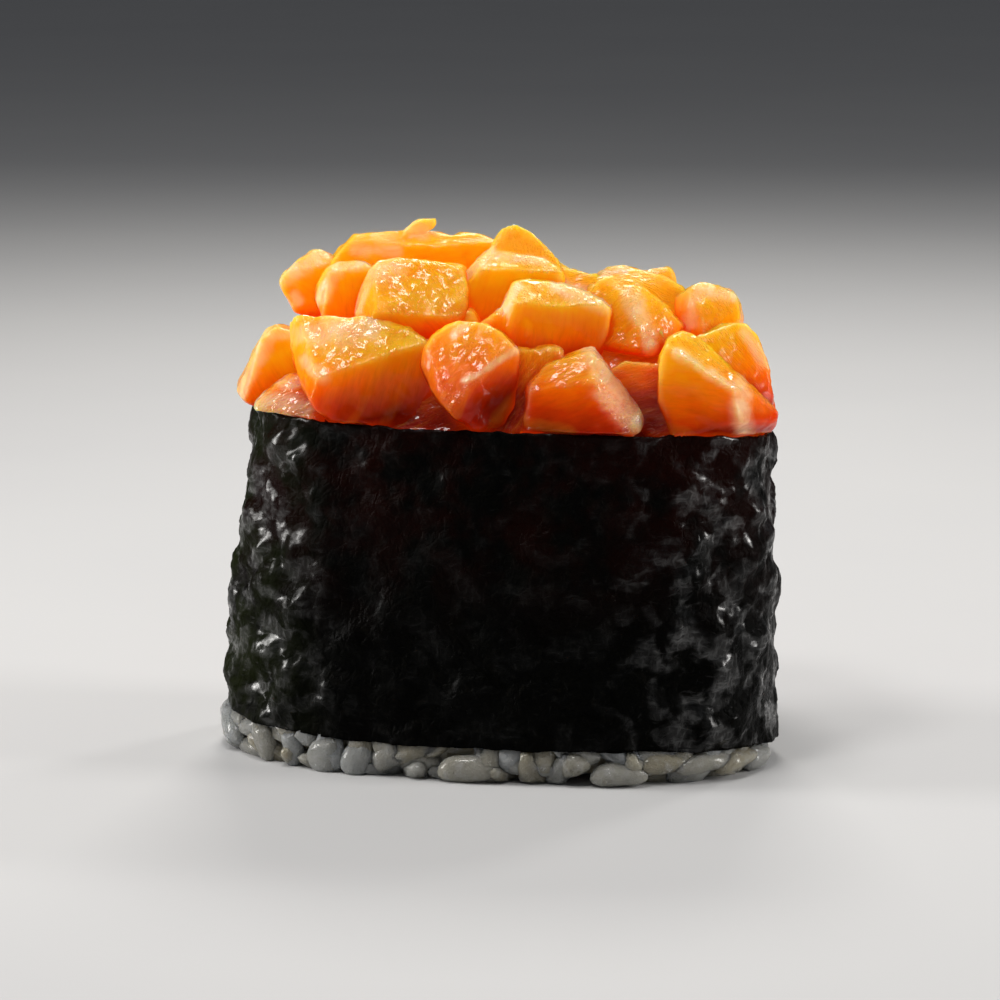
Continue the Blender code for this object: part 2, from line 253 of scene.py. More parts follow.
# %% Trees of geometry nodes, and how they are run
class Recipe(Maker):
    """A tree of geometry nodes with named inputs, which ends in Realize Instances and Set Material."""

    KINDS = {float: "NodeSocketFloat", int: "NodeSocketInt", tuple: "NodeSocketVector", bool: "NodeSocketBool"}

    def __init__(self, name, **defaults):
        super().__init__(bpy.data.node_groups.new(name, "GeometryNodeTree"))
        face = self.tree.interface
        face.new_socket("Geometry", in_out="INPUT", socket_type="NodeSocketGeometry")
        face.new_socket("Geometry", in_out="OUTPUT", socket_type="NodeSocketGeometry")
        for label, default in defaults.items():
            socket = face.new_socket(label, in_out="INPUT", socket_type=self.kind_of(default))
            if not isinstance(default, str):
                socket.default_value = default
        self.entry = self.tree.nodes.new("NodeGroupInput")

    def kind_of(self, default):
        """The socket for a default: a text here stands for the kind of thing that the input takes."""
        things = {"object": "NodeSocketObject", "material": "NodeSocketMaterial"}
        return things[default] if isinstance(default, str) else self.KINDS[type(default)]

    def given(self, label):
        return Value(self, self.entry.outputs[label])

    def attribute(self, label, kind="FLOAT"):
        return self.add("GeometryNodeInputNamedAttribute", {"data_type": kind}, {"Name": label})

    def store(self, geometry, label, value, kind="FLOAT"):
        settings = {"data_type": kind, "domain": "POINT"}
        return self.add("GeometryNodeStoreNamedAttribute", settings, {"Geometry": geometry, "Name": label, "Value": value})

    def finish(self, geometry):
        solid = self.add("GeometryNodeRealizeInstances", None, {"Geometry": geometry})
        clad = self.add("GeometryNodeSetMaterial", None, {"Geometry": solid, "Material": self.given("Material")})
        exit_node = self.tree.nodes.new("NodeGroupOutput")
        self.tree.links.new(clad.socket, exit_node.inputs[0])


def attach(thing, recipe, **values):
    """Puts a recipe on an object as a modifier, with its named inputs set."""
    modifier = thing.modifiers.new(recipe.tree.name, "NODES")
    modifier.node_group = recipe.tree
    for item in recipe.tree.interface.items_tree:
        if item.in_out == "INPUT" and item.name in values:
            modifier[item.identifier] = values[item.name]


def plain_mesh(thing, name):
    """Runs an object's modifiers and gives a new object with only the mesh that they made."""
    bpy.context.view_layer.update()
    evaluated = thing.evaluated_get(bpy.context.evaluated_depsgraph_get())
    mesh = bpy.data.meshes.new_from_object(evaluated)
    mesh.name = name
    bpy.data.objects.remove(thing, do_unlink=True)
    piece = bpy.data.objects.new(name, mesh)
    scene.collection.objects.link(piece)
    for polygon in mesh.polygons:
        polygon.use_smooth = True
    return piece


def material_with(name, **values):
    """A new material with these plain values on its shader, and a maker for what varies."""
    material = bpy.data.materials.new(name)
    material.use_nodes = True
    shader = material.node_tree.nodes["Principled BSDF"]
    for label, value in values.items():
        shader.inputs[label.replace("_", " ")].default_value = value
    return material, Maker(material.node_tree), shader


def bump(maker, height, distance, strength=1.0):
    inputs = {"Height": height, "Distance": distance, "Strength": strength}
    return maker.add("ShaderNodeBump", None, inputs)


# %% [markdown]
# ## The wrap's shape
# The strip of nori follows a rounded oblong (a superellipse) that narrows a little and leans to the
# right as it rises. Its two edges aren't level: the sheet was wrapped by hand. The same few formulas
# give the path of the strip, the skin of the rice below it, and the places of single grains.

# %% The wrap's formulas, in millimetres
HALF_LENGTH = (28.0, 26.1)
HALF_WIDTH = (15.9, 15.0)
SQUARENESS = 2.5
LEAN = 1.6
BELLY = 0.45
RIM_LOW = 3.3
RIM_HIGH = 33.7
FRAME_SHIFT = (-0.12, 0.011)
LOW_WAVES = (-1.45, -0.3, 0.2, -0.8)
HIGH_WAVES = (-0.9, -1.0, 0.17, -0.4)


def rim_height(angle, base, waves):
    first = waves[0] * math.cos(angle) + waves[1] * math.sin(angle)
    return base + first + waves[2] * math.cos(2 * angle) + waves[3] * math.sin(2 * angle)


def wrap_point(angle, z, out=0.0):
    """A point on the smooth face of the wrap, in millimetres."""
    rise = z / RIM_HIGH
    swell = BELLY * math.sin(math.pi * min(max(rise, 0.0), 1.0)) + out
    long = HALF_LENGTH[0] + rise * (HALF_LENGTH[1] - HALF_LENGTH[0]) + swell
    wide = HALF_WIDTH[0] + rise * (HALF_WIDTH[1] - HALF_WIDTH[0]) + swell
    power = 2 / SQUARENESS
    x = long * math.copysign(abs(math.cos(angle)) ** power, math.cos(angle))
    y = wide * math.copysign(abs(math.sin(angle)) ** power, math.sin(angle))
    return Vector((x + LEAN * rise + FRAME_SHIFT[0], y + FRAME_SHIFT[1], z))


def even_angles(start, turn, count):
    """Angles that lie evenly far apart along the wrap's foot, from start on."""
    steps = 6000
    angles = [start + turn * step / steps for step in range(steps + 1)]
    points = [wrap_point(angle, RIM_LOW) for angle in angles]
    lengths = [0.0]
    for one, other in zip(points, points[1:]):
        lengths.append(lengths[-1] + (other - one).length)
    even, step = [], 0
    for index in range(count):
        wanted = lengths[-1] * index / (count - 1)
        while step < steps - 1 and lengths[step + 1] < wanted:
            step += 1
        share = (wanted - lengths[step]) / (lengths[step + 1] - lengths[step])
        even.append(angles[step] + share * turn / steps)
    return even, lengths[-1]


round_once, girth = even_angles(0.0, 2 * math.pi, 200)
print("girth of the wrap:", round(girth, 1), "mm")

# %% [markdown]
# ## Nori
# Nori is a paper of dried seaweed. Once it lies on warm rice it goes damp, clings to the grains and
# buckles over them, so its gloss breaks up into small bright patches with dark between. It could be
# sculpted or simulated as cloth. A grid of geometry nodes is simpler and exact: each column of the grid
# takes its place on the wrap's path, and noise laid out on the flat strip moves the sheet in and out.
# What is finer than the grid, the felted fibres, is bump in the material.


# %% Nori material
def make_nori_material():
    material, maker, shader = material_with(
        "nori", Roughness=0.4, IOR=1.14, Specular_IOR_Level=0.15, Coat_IOR=1.7, Coat_Roughness=0.2
    )
    strip = maker.add("ShaderNodeAttribute", {"attribute_name": "strip"}, None, "Vector")
    place = maker.add("ShaderNodeTexCoord", None, None, "Object") / MM
    along, up, _ = maker.apart(strip)
    x, _, z = maker.apart(place)
    patches = maker.noise(strip, 0.16, 3.0, 0.6)
    fine = maker.noise(strip, 1.1, 6.0, 0.68, 1.2)
    warp = maker.noise(strip, 0.5, 2.0, 0.5, 0.0, "Color") * 1.6
    lines_one = maker.noise((strip + warp) * (2.6, 0.55, 1.0), 1.0, 3.0, 0.6)
    lines_two = maker.noise((strip - warp) * (0.5, 2.4, 1.0) + (40.0, 7.0, 3.0), 1.0, 3.0, 0.6)
    fibres = maker.maths("MAXIMUM", lines_one, lines_two)
    crackle = maker.cells(strip + warp, 0.85, "DISTANCE_TO_EDGE")
    height = fine * 0.5 + fibres * 0.7 + maker.smooth(crackle, 0.0, 0.22) * 0.25
    # The left end is painted lighter and greener, as painted light where the left lamp grazes it; towards the top edge
    # the sheet is redder.
    painted_green_light = maker.smooth(x, -12.0, -27.0) * maker.smooth(patches, 0.35, 0.6)
    red = maker.smooth(z, 12.0, 32.0) * maker.smooth(patches, 0.62, 0.4)
    colour = maker.blend(red * 0.8, (0.0012, 0.0012, 0.001), (0.009, 0.0016, 0.001))
    colour = maker.blend(painted_green_light * 0.8, colour, (0.009, 0.012, 0.002))
    colour = maker.blend(maker.smooth(fine, 0.5, 0.75) * 0.4, colour, (0.007, 0.006, 0.004))
    maker.feed(shader.inputs["Base Color"], colour)
    rough = 0.27 + 0.3 * maker.smooth(patches, 0.4, 0.65) + 0.25 * (fine - 0.5)
    maker.feed(shader.inputs["Roughness"], rough)
    ends = maker.smooth(maker.maths("ABSOLUTE", x - 1.0), 12.0, 23.0)
    blobs = maker.noise(strip, 0.34, 2.0, 0.5, 0.5)
    silver = maker.smooth(blobs, 0.46, 0.63) * (0.3 + maker.smooth(fibres + fine * 0.4, 0.66, 0.9) * 0.7)
    gloss = silver * (0.08 + ends * 0.92) + maker.smooth(fibres, 0.62, 0.75) * (0.06 + ends * 0.15)
    maker.feed(shader.inputs["Coat Weight"], gloss)
    maker.feed(shader.inputs["Normal"], bump(maker, height, 0.00017, 0.9))
    return material


nori_material = make_nori_material()


# %% The path that the strip follows
NORI_COLUMNS = 480
NORI_ROWS = 94
LAP_START = math.radians(62)
LAP_LENGTH = math.radians(34)
LAP_RAMP = math.radians(14)
LAP_LIFT = 0.5
NORI_THICKNESS = 0.32


def make_path():
    """A line of points evenly along the strip, each with its angle round the wrap."""
    angles, length = even_angles(LAP_START, 2 * math.pi + LAP_LENGTH, NORI_COLUMNS)
    mesh = bpy.data.meshes.new("strip_path")
    edges = [(index, index + 1) for index in range(NORI_COLUMNS - 1)]
    mesh.from_pydata([wrap_point(angle, RIM_LOW) * MM for angle in angles], edges, [])
    mesh.attributes.new("angle", "FLOAT", "POINT").data.foreach_set("value", angles)
    path = bpy.data.objects.new("strip_path", mesh)
    scene.collection.objects.link(path)
    print("the strip is", round(length, 1), "mm long")
    return path, length


# %% Nori's geometry nodes
def rim_of(maker, angle, base, waves):
    """The height of an edge of the strip, as rim_height gives it."""
    once = maker.maths("COSINE", angle) * waves[0] + maker.maths("SINE", angle) * waves[1]
    twice = angle * 2.0
    return once + maker.maths("COSINE", twice) * waves[2] + maker.maths("SINE", twice) * waves[3] + base


def signed_power(maker, value, power):
    return maker.maths("SIGN", value) * maker.maths("ABSOLUTE", value) ** power


def nori_recipe():
    recipe = Recipe(
        "nori_strip",
        Rows=NORI_ROWS,
        Length=160.0,
        Thickness=NORI_THICKNESS,
        Bulges=0.75,
        Creases=0.3,
        Ragged=0.32,
        Seed=3.0,
        Material="material",
    )
    path = recipe.given("Geometry")
    rows = recipe.given("Rows")
    columns = recipe.add("GeometryNodeAttributeDomainSize", {"component": "MESH"}, {"Geometry": path}, "Point Count")
    grid = recipe.add("GeometryNodeMeshGrid", None, {"Vertices X": columns, "Vertices Y": rows})
    index = recipe.add("GeometryNodeInputIndex")
    column = recipe.maths("FLOOR", index / rows)
    row = index - column * rows
    sample = {"Geometry": path, "Value": recipe.attribute("angle"), "Index": column}
    angle = recipe.add("GeometryNodeSampleIndex", {"data_type": "FLOAT", "domain": "POINT"}, sample)
    share = column / (columns - 1.0)
    along = share * recipe.given("Length")
    level = row / (rows - 1.0)
    rag = recipe.noise(recipe.together(along, recipe.given("Seed"), level * 9.0), 0.45, 4.0, 0.6) - 0.5
    low = rim_of(recipe, angle, RIM_LOW, LOW_WAVES)
    high = rim_of(recipe, angle, RIM_HIGH, HIGH_WAVES)
    nearness = recipe.maths("ABSOLUTE", level * 2.0 - 1.0) ** 8.0
    z = low + (high - low) * level + rag * nearness * recipe.given("Ragged") * 2.0
    strip = recipe.together(along, z, recipe.given("Seed"))
    ramp = recipe.smooth(angle, LAP_START + 2 * math.pi - LAP_RAMP, LAP_START + 2 * math.pi)
    out = ramp * LAP_LIFT + sheet_relief(recipe, strip, angle, z)
    rise = z / RIM_HIGH
    swell = recipe.maths("SINE", recipe.maths("MINIMUM", rise, 1.0) * math.pi) * BELLY + out
    long = rise * (HALF_LENGTH[1] - HALF_LENGTH[0]) + HALF_LENGTH[0] + swell
    wide = rise * (HALF_WIDTH[1] - HALF_WIDTH[0]) + HALF_WIDTH[0] + swell
    x = signed_power(recipe, recipe.maths("COSINE", angle), 2 / SQUARENESS) * long + rise * LEAN + FRAME_SHIFT[0]
    y = signed_power(recipe, recipe.maths("SINE", angle), 2 / SQUARENESS) * wide + FRAME_SHIFT[1]
    place = recipe.together(x, y, z) * MM
    named = recipe.store(grid, "strip", strip, "FLOAT_VECTOR")
    sheet = recipe.add("GeometryNodeSetPosition", None, {"Geometry": named, "Position": place})
    recipe.finish(thick_sheet(recipe, sheet))
    return recipe


def sheet_relief(recipe, strip, angle, z):
    """How far the sheet stands out, in millimetres: slow buckles, a bulge over each grain, and creases."""
    buckles = [(0.12, 9, 5, 0.0), (0.084, 16, -7, 1.3), (0.06, 5, 13, 0.6)]
    slow = 0.0
    for size, around, up, start in buckles:
        slow = recipe.maths("SINE", angle * around + z * (up / RIM_HIGH) + start) * size + slow
    warp = (recipe.noise(strip, 0.22, 2.0, 0.5, 0.0, "Color") - 0.5) * 3.4
    grains = recipe.cells((strip + warp) * (0.8, 1.0, 1.0), 0.24, "SMOOTH_F1", 0.55)
    bulges = recipe.smooth(grains, 0.72, 0.12) - 0.5
    folds = recipe.noise((strip + warp * 0.4) * (0.62, 0.95, 1.0), 0.62, 3.0, 0.55, 0.6)
    creases = recipe.maths("ABSOLUTE", folds - 0.5) * -2.0
    return slow + bulges * recipe.given("Bulges") + creases * recipe.given("Creases") * 2.0 - 0.05


def thick_sheet(recipe, sheet):
    """Gives the sheet its thickness inwards and closes its four edges."""
    normal = recipe.add("GeometryNodeInputNormal")
    inwards = recipe.given("Thickness") * -MM
    extruded = recipe.add(
        "GeometryNodeExtrudeMesh",
        {"mode": "FACES"},
        {"Mesh": sheet, "Offset": normal, "Offset Scale": inwards, "Individual": False},
    )
    joined = recipe.tree.nodes.new("GeometryNodeJoinGeometry")
    flipped = recipe.add("GeometryNodeFlipFaces", None, {"Mesh": extruded})
    recipe.tree.links.new(flipped.socket, joined.inputs[0])
    recipe.tree.links.new(sheet.socket, joined.inputs[0])
    both = Value(recipe, joined.outputs[0])
    return recipe.add("GeometryNodeMergeByDistance", None, {"Geometry": both, "Distance": 1e-7})


def make_nori():
    path, length = make_path()
    attach(path, nori_recipe(), Length=length, Material=nori_material)
    piece = plain_mesh(path, "nori_wrap")
    piece.data.materials.clear()
    piece.data.materials.append(nori_material)
    print("nori:", len(piece.data.polygons), "faces")
    return piece


nori = make_nori()
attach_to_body(nori, "root")
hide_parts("nori")

# %% [markdown]
# ## Rice
# The bed is cooked short-grain rice pressed into an oval. It shows as a band of single grains under the
# wrap and as the whole underside. Modelling every grain of the bed would waste most of them, so a smaller
# core stands for the inside, and geometry nodes scatter grains over the part of its skin that shows. The
# grains in front, which are met one by one, are listed. Where grains come under the strip they
# are pressed in behind it, and on the underside they are pressed flat, as a dish does it.

# %% Rice material
def make_rice_material():
    material, maker, shader = material_with(
        "rice",
        Roughness=0.2,
        IOR=1.36,
        Transmission_Weight=0.4,
        Subsurface_Weight=1.0,
        Subsurface_Radius=(1.0, 0.95, 0.85),
        Subsurface_Scale=0.0018,
        Specular_IOR_Level=0.5,
        Coat_Weight=0.5,
        Coat_Roughness=0.1,
    )
    place = maker.add("ShaderNodeTexCoord", None, None, "Object") / MM
    tone = maker.add("ShaderNodeAttribute", {"attribute_name": "tone"}, None, "Fac")
    cloud = maker.noise(place, 0.9, 4.0, 0.6)
    colour = maker.blend(tone, (0.38, 0.345, 0.25), (0.42, 0.44, 0.445))
    colour = maker.blend(maker.smooth(cloud, 0.45, 0.75) * 0.5, colour, (0.58, 0.59, 0.58))
    maker.feed(shader.inputs["Base Color"], colour)
    fine = maker.noise(place, 4.5, 3.0, 0.75)
    maker.feed(shader.inputs["Roughness"], 0.1 + 0.25 * cloud)
    maker.feed(shader.inputs["Normal"], bump(maker, fine + cloud * 0.6, 0.00028, 1.0))
    return material


rice_material = make_rice_material()

# %% One grain
GRAIN_LENGTH = 5.9
GRAIN_WIDTH = 2.75
GRAIN_HEIGHT = 2.3
GRAIN_SIDES = 8
GRAIN_RINGS = 6


def make_grain(sides, rings):
    """A grain of short rice: plump and blunt, a little bent, with a nick where the germ was."""
    shape = bmesh.new()
    loops = []
    for ring in range(1, rings):
        share = -math.cos(math.pi * ring / rings)
        plump = (1 - abs(share) ** 2.6) ** 0.5 * (1.0 - 0.07 * share)
        loop = []
        for side in range(sides):
            angle = 2 * math.pi * side / sides
            nick = 0.18 * math.exp(-(((share - 0.75) / 0.22) ** 2)) * max(math.cos(angle), 0.0)
            y = GRAIN_WIDTH / 2 * plump * (math.cos(angle) - nick)
            z = GRAIN_HEIGHT / 2 * plump * math.sin(angle) * (0.94 if math.sin(angle) < 0 else 1.0)
            loop.append(shape.verts.new(Vector((GRAIN_LENGTH / 2 * share, y - 0.28 * share * share, z)) * MM))
        loops.append(loop)
    tips = [shape.verts.new(Vector((side * GRAIN_LENGTH / 2, -0.28, 0)) * MM) for side in (-1, 1)]
    for one, other in zip(loops, loops[1:]):
        for side in range(sides):
            after = (side + 1) % sides
            shape.faces.new((one[side], other[side], other[after], one[after]))
    for side in range(sides):
        after = (side + 1) % sides
        shape.faces.new((tips[0], loops[0][side], loops[0][after]))
        shape.faces.new((tips[1], loops[-1][after], loops[-1][side]))
    bmesh.ops.recalc_face_normals(shape, faces=shape.faces[:])
    mesh = bpy.data.meshes.new("grain")
    shape.to_mesh(mesh)
    shape.free()
    grain = bpy.data.objects.new("grain", mesh)
    print("a grain has", len(mesh.polygons), "faces")
    return grain


grain = make_grain(GRAIN_SIDES, GRAIN_RINGS)
near_grain = make_grain(20, 14)

# %% The core of the rice
CORE_COLUMNS = 120
RICE_TOP = 27.4
CORE_RINGS = [(0.75, -2.9), (1.0, -2.2), (1.8, -1.75), (2.6, -1.7), (4.5, -1.8), (16.0, -1.6), (26.6, -1.7), (RICE_TOP, -2.6)]


def make_core():
    """Rings from the underside to the top, with a lump for each grain round them."""
    shape = bmesh.new()
    rings = []
    for z, out in CORE_RINGS:
        ring = []
        for column in range(CORE_COLUMNS):
            angle = 2 * math.pi * column / CORE_COLUMNS
            lump = 0.2 * math.sin(20 * angle + 1.7 * z) * math.sin(7 * angle + z)
            ring.append(shape.verts.new(wrap_point(angle, z, out + lump) * MM))
        rings.append(ring)
    for one, other in zip(rings, rings[1:]):
        for column in range(CORE_COLUMNS):
            after = (column + 1) % CORE_COLUMNS
            shape.faces.new((one[column], one[after], other[after], other[column]))
    shape.faces.new(rings[0][::-1])
    shape.faces.new(rings[-1])
    bmesh.ops.triangulate(shape, faces=shape.faces[:])
    mesh = bpy.data.meshes.new("rice_core")
    shape.to_mesh(mesh)
    shape.free()
    core = bpy.data.objects.new("rice_core", mesh)
    mesh.materials.append(rice_material)
    scene.collection.objects.link(core)
    return core


core = make_core()


# %% How rice and salmon are held in by the strip

def within_wrap(recipe, place, base, waves, inside, outside, beyond):
    """Moves points in to this far inside the strip where they are beside it, and less so past its edge."""
    x, y, z = recipe.apart(place)
    z = recipe.maths("MAXIMUM", z, 0.0)
    rise = z / RIM_HIGH
    x = x - rise * LEAN - FRAME_SHIFT[0]
    y = y - FRAME_SHIFT[1]
    long = rise * (HALF_LENGTH[1] - HALF_LENGTH[0]) + HALF_LENGTH[0]
    wide = rise * (HALF_WIDTH[1] - HALF_WIDTH[0]) + HALF_WIDTH[0]
    power = SQUARENESS / 2
    angle = recipe.maths("ARCTAN2", signed_power(recipe, y / wide, power), signed_power(recipe, x / long, power))
    over = z - rim_of(recipe, angle, base, waves)
    if base == RIM_LOW:
        over = -over
    out = recipe.smooth(over, 0.0, beyond) * (outside - inside) + inside
    long, wide = long + out, wide + out
    far = recipe.maths("ABSOLUTE", x / long) ** SQUARENESS + recipe.maths("ABSOLUTE", y / wide) ** SQUARENESS
    shrink = recipe.maths("MAXIMUM", far ** (1 / SQUARENESS), 1.0)
    return recipe.together(x / shrink + rise * LEAN + FRAME_SHIFT[0], y / shrink + FRAME_SHIFT[1], z)


def press_and_clad(recipe, instances):
    tones = {"data_type": "FLOAT"}
    tone = recipe.add("FunctionNodeRandomValue", tones, {"Min_001": 0.0, "Max_001": 1.0, "Seed": recipe.given("Seed") + 5.0}, "Value_001")
    settings = {"data_type": "FLOAT", "domain": "INSTANCE"}
    toned = recipe.add("GeometryNodeStoreNamedAttribute", settings, {"Geometry": instances, "Name": "tone", "Value": tone})
    real = recipe.add("GeometryNodeRealizeInstances", None, {"Geometry": toned})
    place = recipe.add("GeometryNodeInputPosition") / MM
    place = place + (recipe.noise(place, 0.45, 2.0, 0.5, 0.0, "Color") - 0.5) * 0.6
    place = within_wrap(recipe, place, RIM_LOW, LOW_WAVES, -0.8, 0.72, 0.8)
    recipe.finish(recipe.add("GeometryNodeSetPosition", None, {"Geometry": real, "Position": place * MM}))


# %% Grains scattered over the skin
def scatter_recipe():
    recipe = Recipe("scattered_rice", Spacing=2.3, Density=900.0, Highest=6.0, Proud=0.55, Seed=4, Grain="object", Material="material")
    skin = recipe.given("Geometry")
    position = recipe.add("GeometryNodeInputPosition")
    _, _, z = recipe.apart(position / MM)
    shows = recipe.add("FunctionNodeCompare", {"data_type": "FLOAT", "operation": "LESS_THAN"}, {"A": z, "B": recipe.given("Highest")})
    inputs = {
        "Mesh": skin,
        "Selection": shows,
        "Distance Min": recipe.given("Spacing") * MM,
        "Density Max": recipe.given("Density") * 1000.0,
        "Seed": recipe.given("Seed"),
    }
    points = recipe.add("GeometryNodeDistributePointsOnFaces", {"distribute_method": "POISSON"}, inputs, "Points")
    node = points.socket.node
    normal = Value(recipe, node.outputs["Normal"])
    rotation = Value(recipe, node.outputs["Rotation"])
    spin = recipe.add(
        "FunctionNodeRandomValue", {"data_type": "FLOAT"}, {"Min_001": 0.0, "Max_001": math.pi, "Seed": recipe.given("Seed")}, "Value_001"
    )
    turned = recipe.add(
        "FunctionNodeRotateRotation",
        {"rotation_space": "LOCAL"},
        {"Rotation": rotation, "Rotate By": recipe.together(0.0, 0.0, spin)},
    )
    size = recipe.add(
        "FunctionNodeRandomValue",
        {"data_type": "FLOAT_VECTOR"},
        {"Min": (0.88, 0.9, 0.88), "Max": (1.1, 1.08, 1.06), "Seed": recipe.given("Seed") + 1.0},
        "Value",
    )
    lifted = {"Geometry": points, "Offset": normal * (recipe.given("Proud") * MM)}
    lifted = recipe.add("GeometryNodeSetPosition", None, lifted)
    one = recipe.add("GeometryNodeObjectInfo", None, {"Object": recipe.given("Grain")}, "Geometry")
    instances = recipe.add(
        "GeometryNodeInstanceOnPoints", None, {"Points": lifted, "Instance": one, "Rotation": turned, "Scale": size}
    )
    press_and_clad(recipe, instances)
    return recipe


def make_scattered_rice():
    skin = core.copy()
    skin.data = core.data.copy()
    scene.collection.objects.link(skin)
    attach(skin, scatter_recipe(), Grain=grain, Material=rice_material)
    piece = plain_mesh(skin, "rice_grains")
    print("scattered rice:", len(piece.data.polygons) // len(grain.data.polygons), "grains")
    return piece


grains = make_scattered_rice()

# %% Grains laid along the front
# Each: degrees round the wrap, height of its middle, how far out, its turn along the wrap and its tilt
# in degrees, and its length, width and height against a usual grain's.
LAID_GRAINS = [
    (-168.0, 2.9, -0.9, -14, 8, (0.95, 0.8, 1.0)),
    (-159.0, 2.3, -0.8, -24, 0, (0.95, 0.9, 1.0)),
    (-137.0, 2.0, -0.9, -64, 10, (0.75, 0.95, 1.0)),
    (-126.5, 1.75, -1.0, -80, 0, (0.7, 0.85, 0.95)),
    (-116.5, 1.5, -0.75, 70, 5, (0.66, 1.25, 1.0)),
    (-108.5, 1.4, -0.8, 60, 10, (0.62, 1.15, 1.0)),
    (-102.0, 1.9, -1.2, 30, 0, (0.6, 0.9, 0.9)),
    (-96.5, 1.9, -1.7, 0, 0, (0.8, 0.9, 1.0)),
    (-89.5, 1.35, -0.65, 2, 4, (1.04, 0.98, 1.05)),
    (-80.0, 1.9, -1.5, -4, 0, (1.15, 0.85, 1.0)),
    (-71.0, 2.2, -0.9, 20, 0, (0.5, 0.85, 0.9)),
    (-61.0, 1.25, -0.55, 0, 0, (0.98, 0.88, 1.0)),
    (-49.0, 2.1, -1.1, 4, 0, (1.0, 0.8, 0.95)),
    (-36.0, 1.9, -0.8, 6, 0, (1.05, 0.75, 0.95)),
    (-22.0, 1.6, -0.7, 8, 0, (1.0, 0.75, 1.0)),
    (-8.0, 1.2, -0.7, 4, 0, (0.9, 0.8, 1.0)),
]


def laid_recipe():
    recipe = Recipe("laid_rice", Seed=9, Grain="object", Material="material")
    one = recipe.add("GeometryNodeObjectInfo", None, {"Object": recipe.given("Grain")}, "Geometry")
    inputs = {
        "Points": recipe.given("Geometry"),
        "Instance": one,
        "Rotation": recipe.attribute("turn", "FLOAT_VECTOR"),
        "Scale": recipe.attribute("size", "FLOAT_VECTOR"),
    }
    press_and_clad(recipe, recipe.add("GeometryNodeInstanceOnPoints", None, inputs))
    return recipe


def make_laid_rice():
    """Points with a turn and a size each, and a grain on every one."""
    points, turns, sizes = [], [], []
    for degrees, z, out, turn, tilt, size in LAID_GRAINS:
        angle = math.radians(degrees)
        points.append(wrap_point(angle, z, out) * MM)
        ahead = wrap_point(angle + 0.02, z, out) - wrap_point(angle - 0.02, z, out)
        heading = Euler((math.pi / 2, 0, math.atan2(ahead.y, ahead.x))).to_matrix()
        local = Euler((math.radians(tilt), 0, math.radians(turn))).to_matrix()
        turns.extend((heading @ local).to_euler())
        sizes.extend(size)
    mesh = bpy.data.meshes.new("laid_rice")
    mesh.from_pydata(points, [], [])
    mesh.attributes.new("turn", "FLOAT_VECTOR", "POINT").data.foreach_set("vector", turns)
    mesh.attributes.new("size", "FLOAT_VECTOR", "POINT").data.foreach_set("vector", sizes)
    base = bpy.data.objects.new("laid_rice", mesh)
    scene.collection.objects.link(base)
    attach(base, laid_recipe(), Grain=near_grain, Material=rice_material)
    return plain_mesh(base, "rice_front_grains")


front_grains = make_laid_rice()
for piece in (core, grains, front_grains):
    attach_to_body(piece, "root")
    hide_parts("rice")
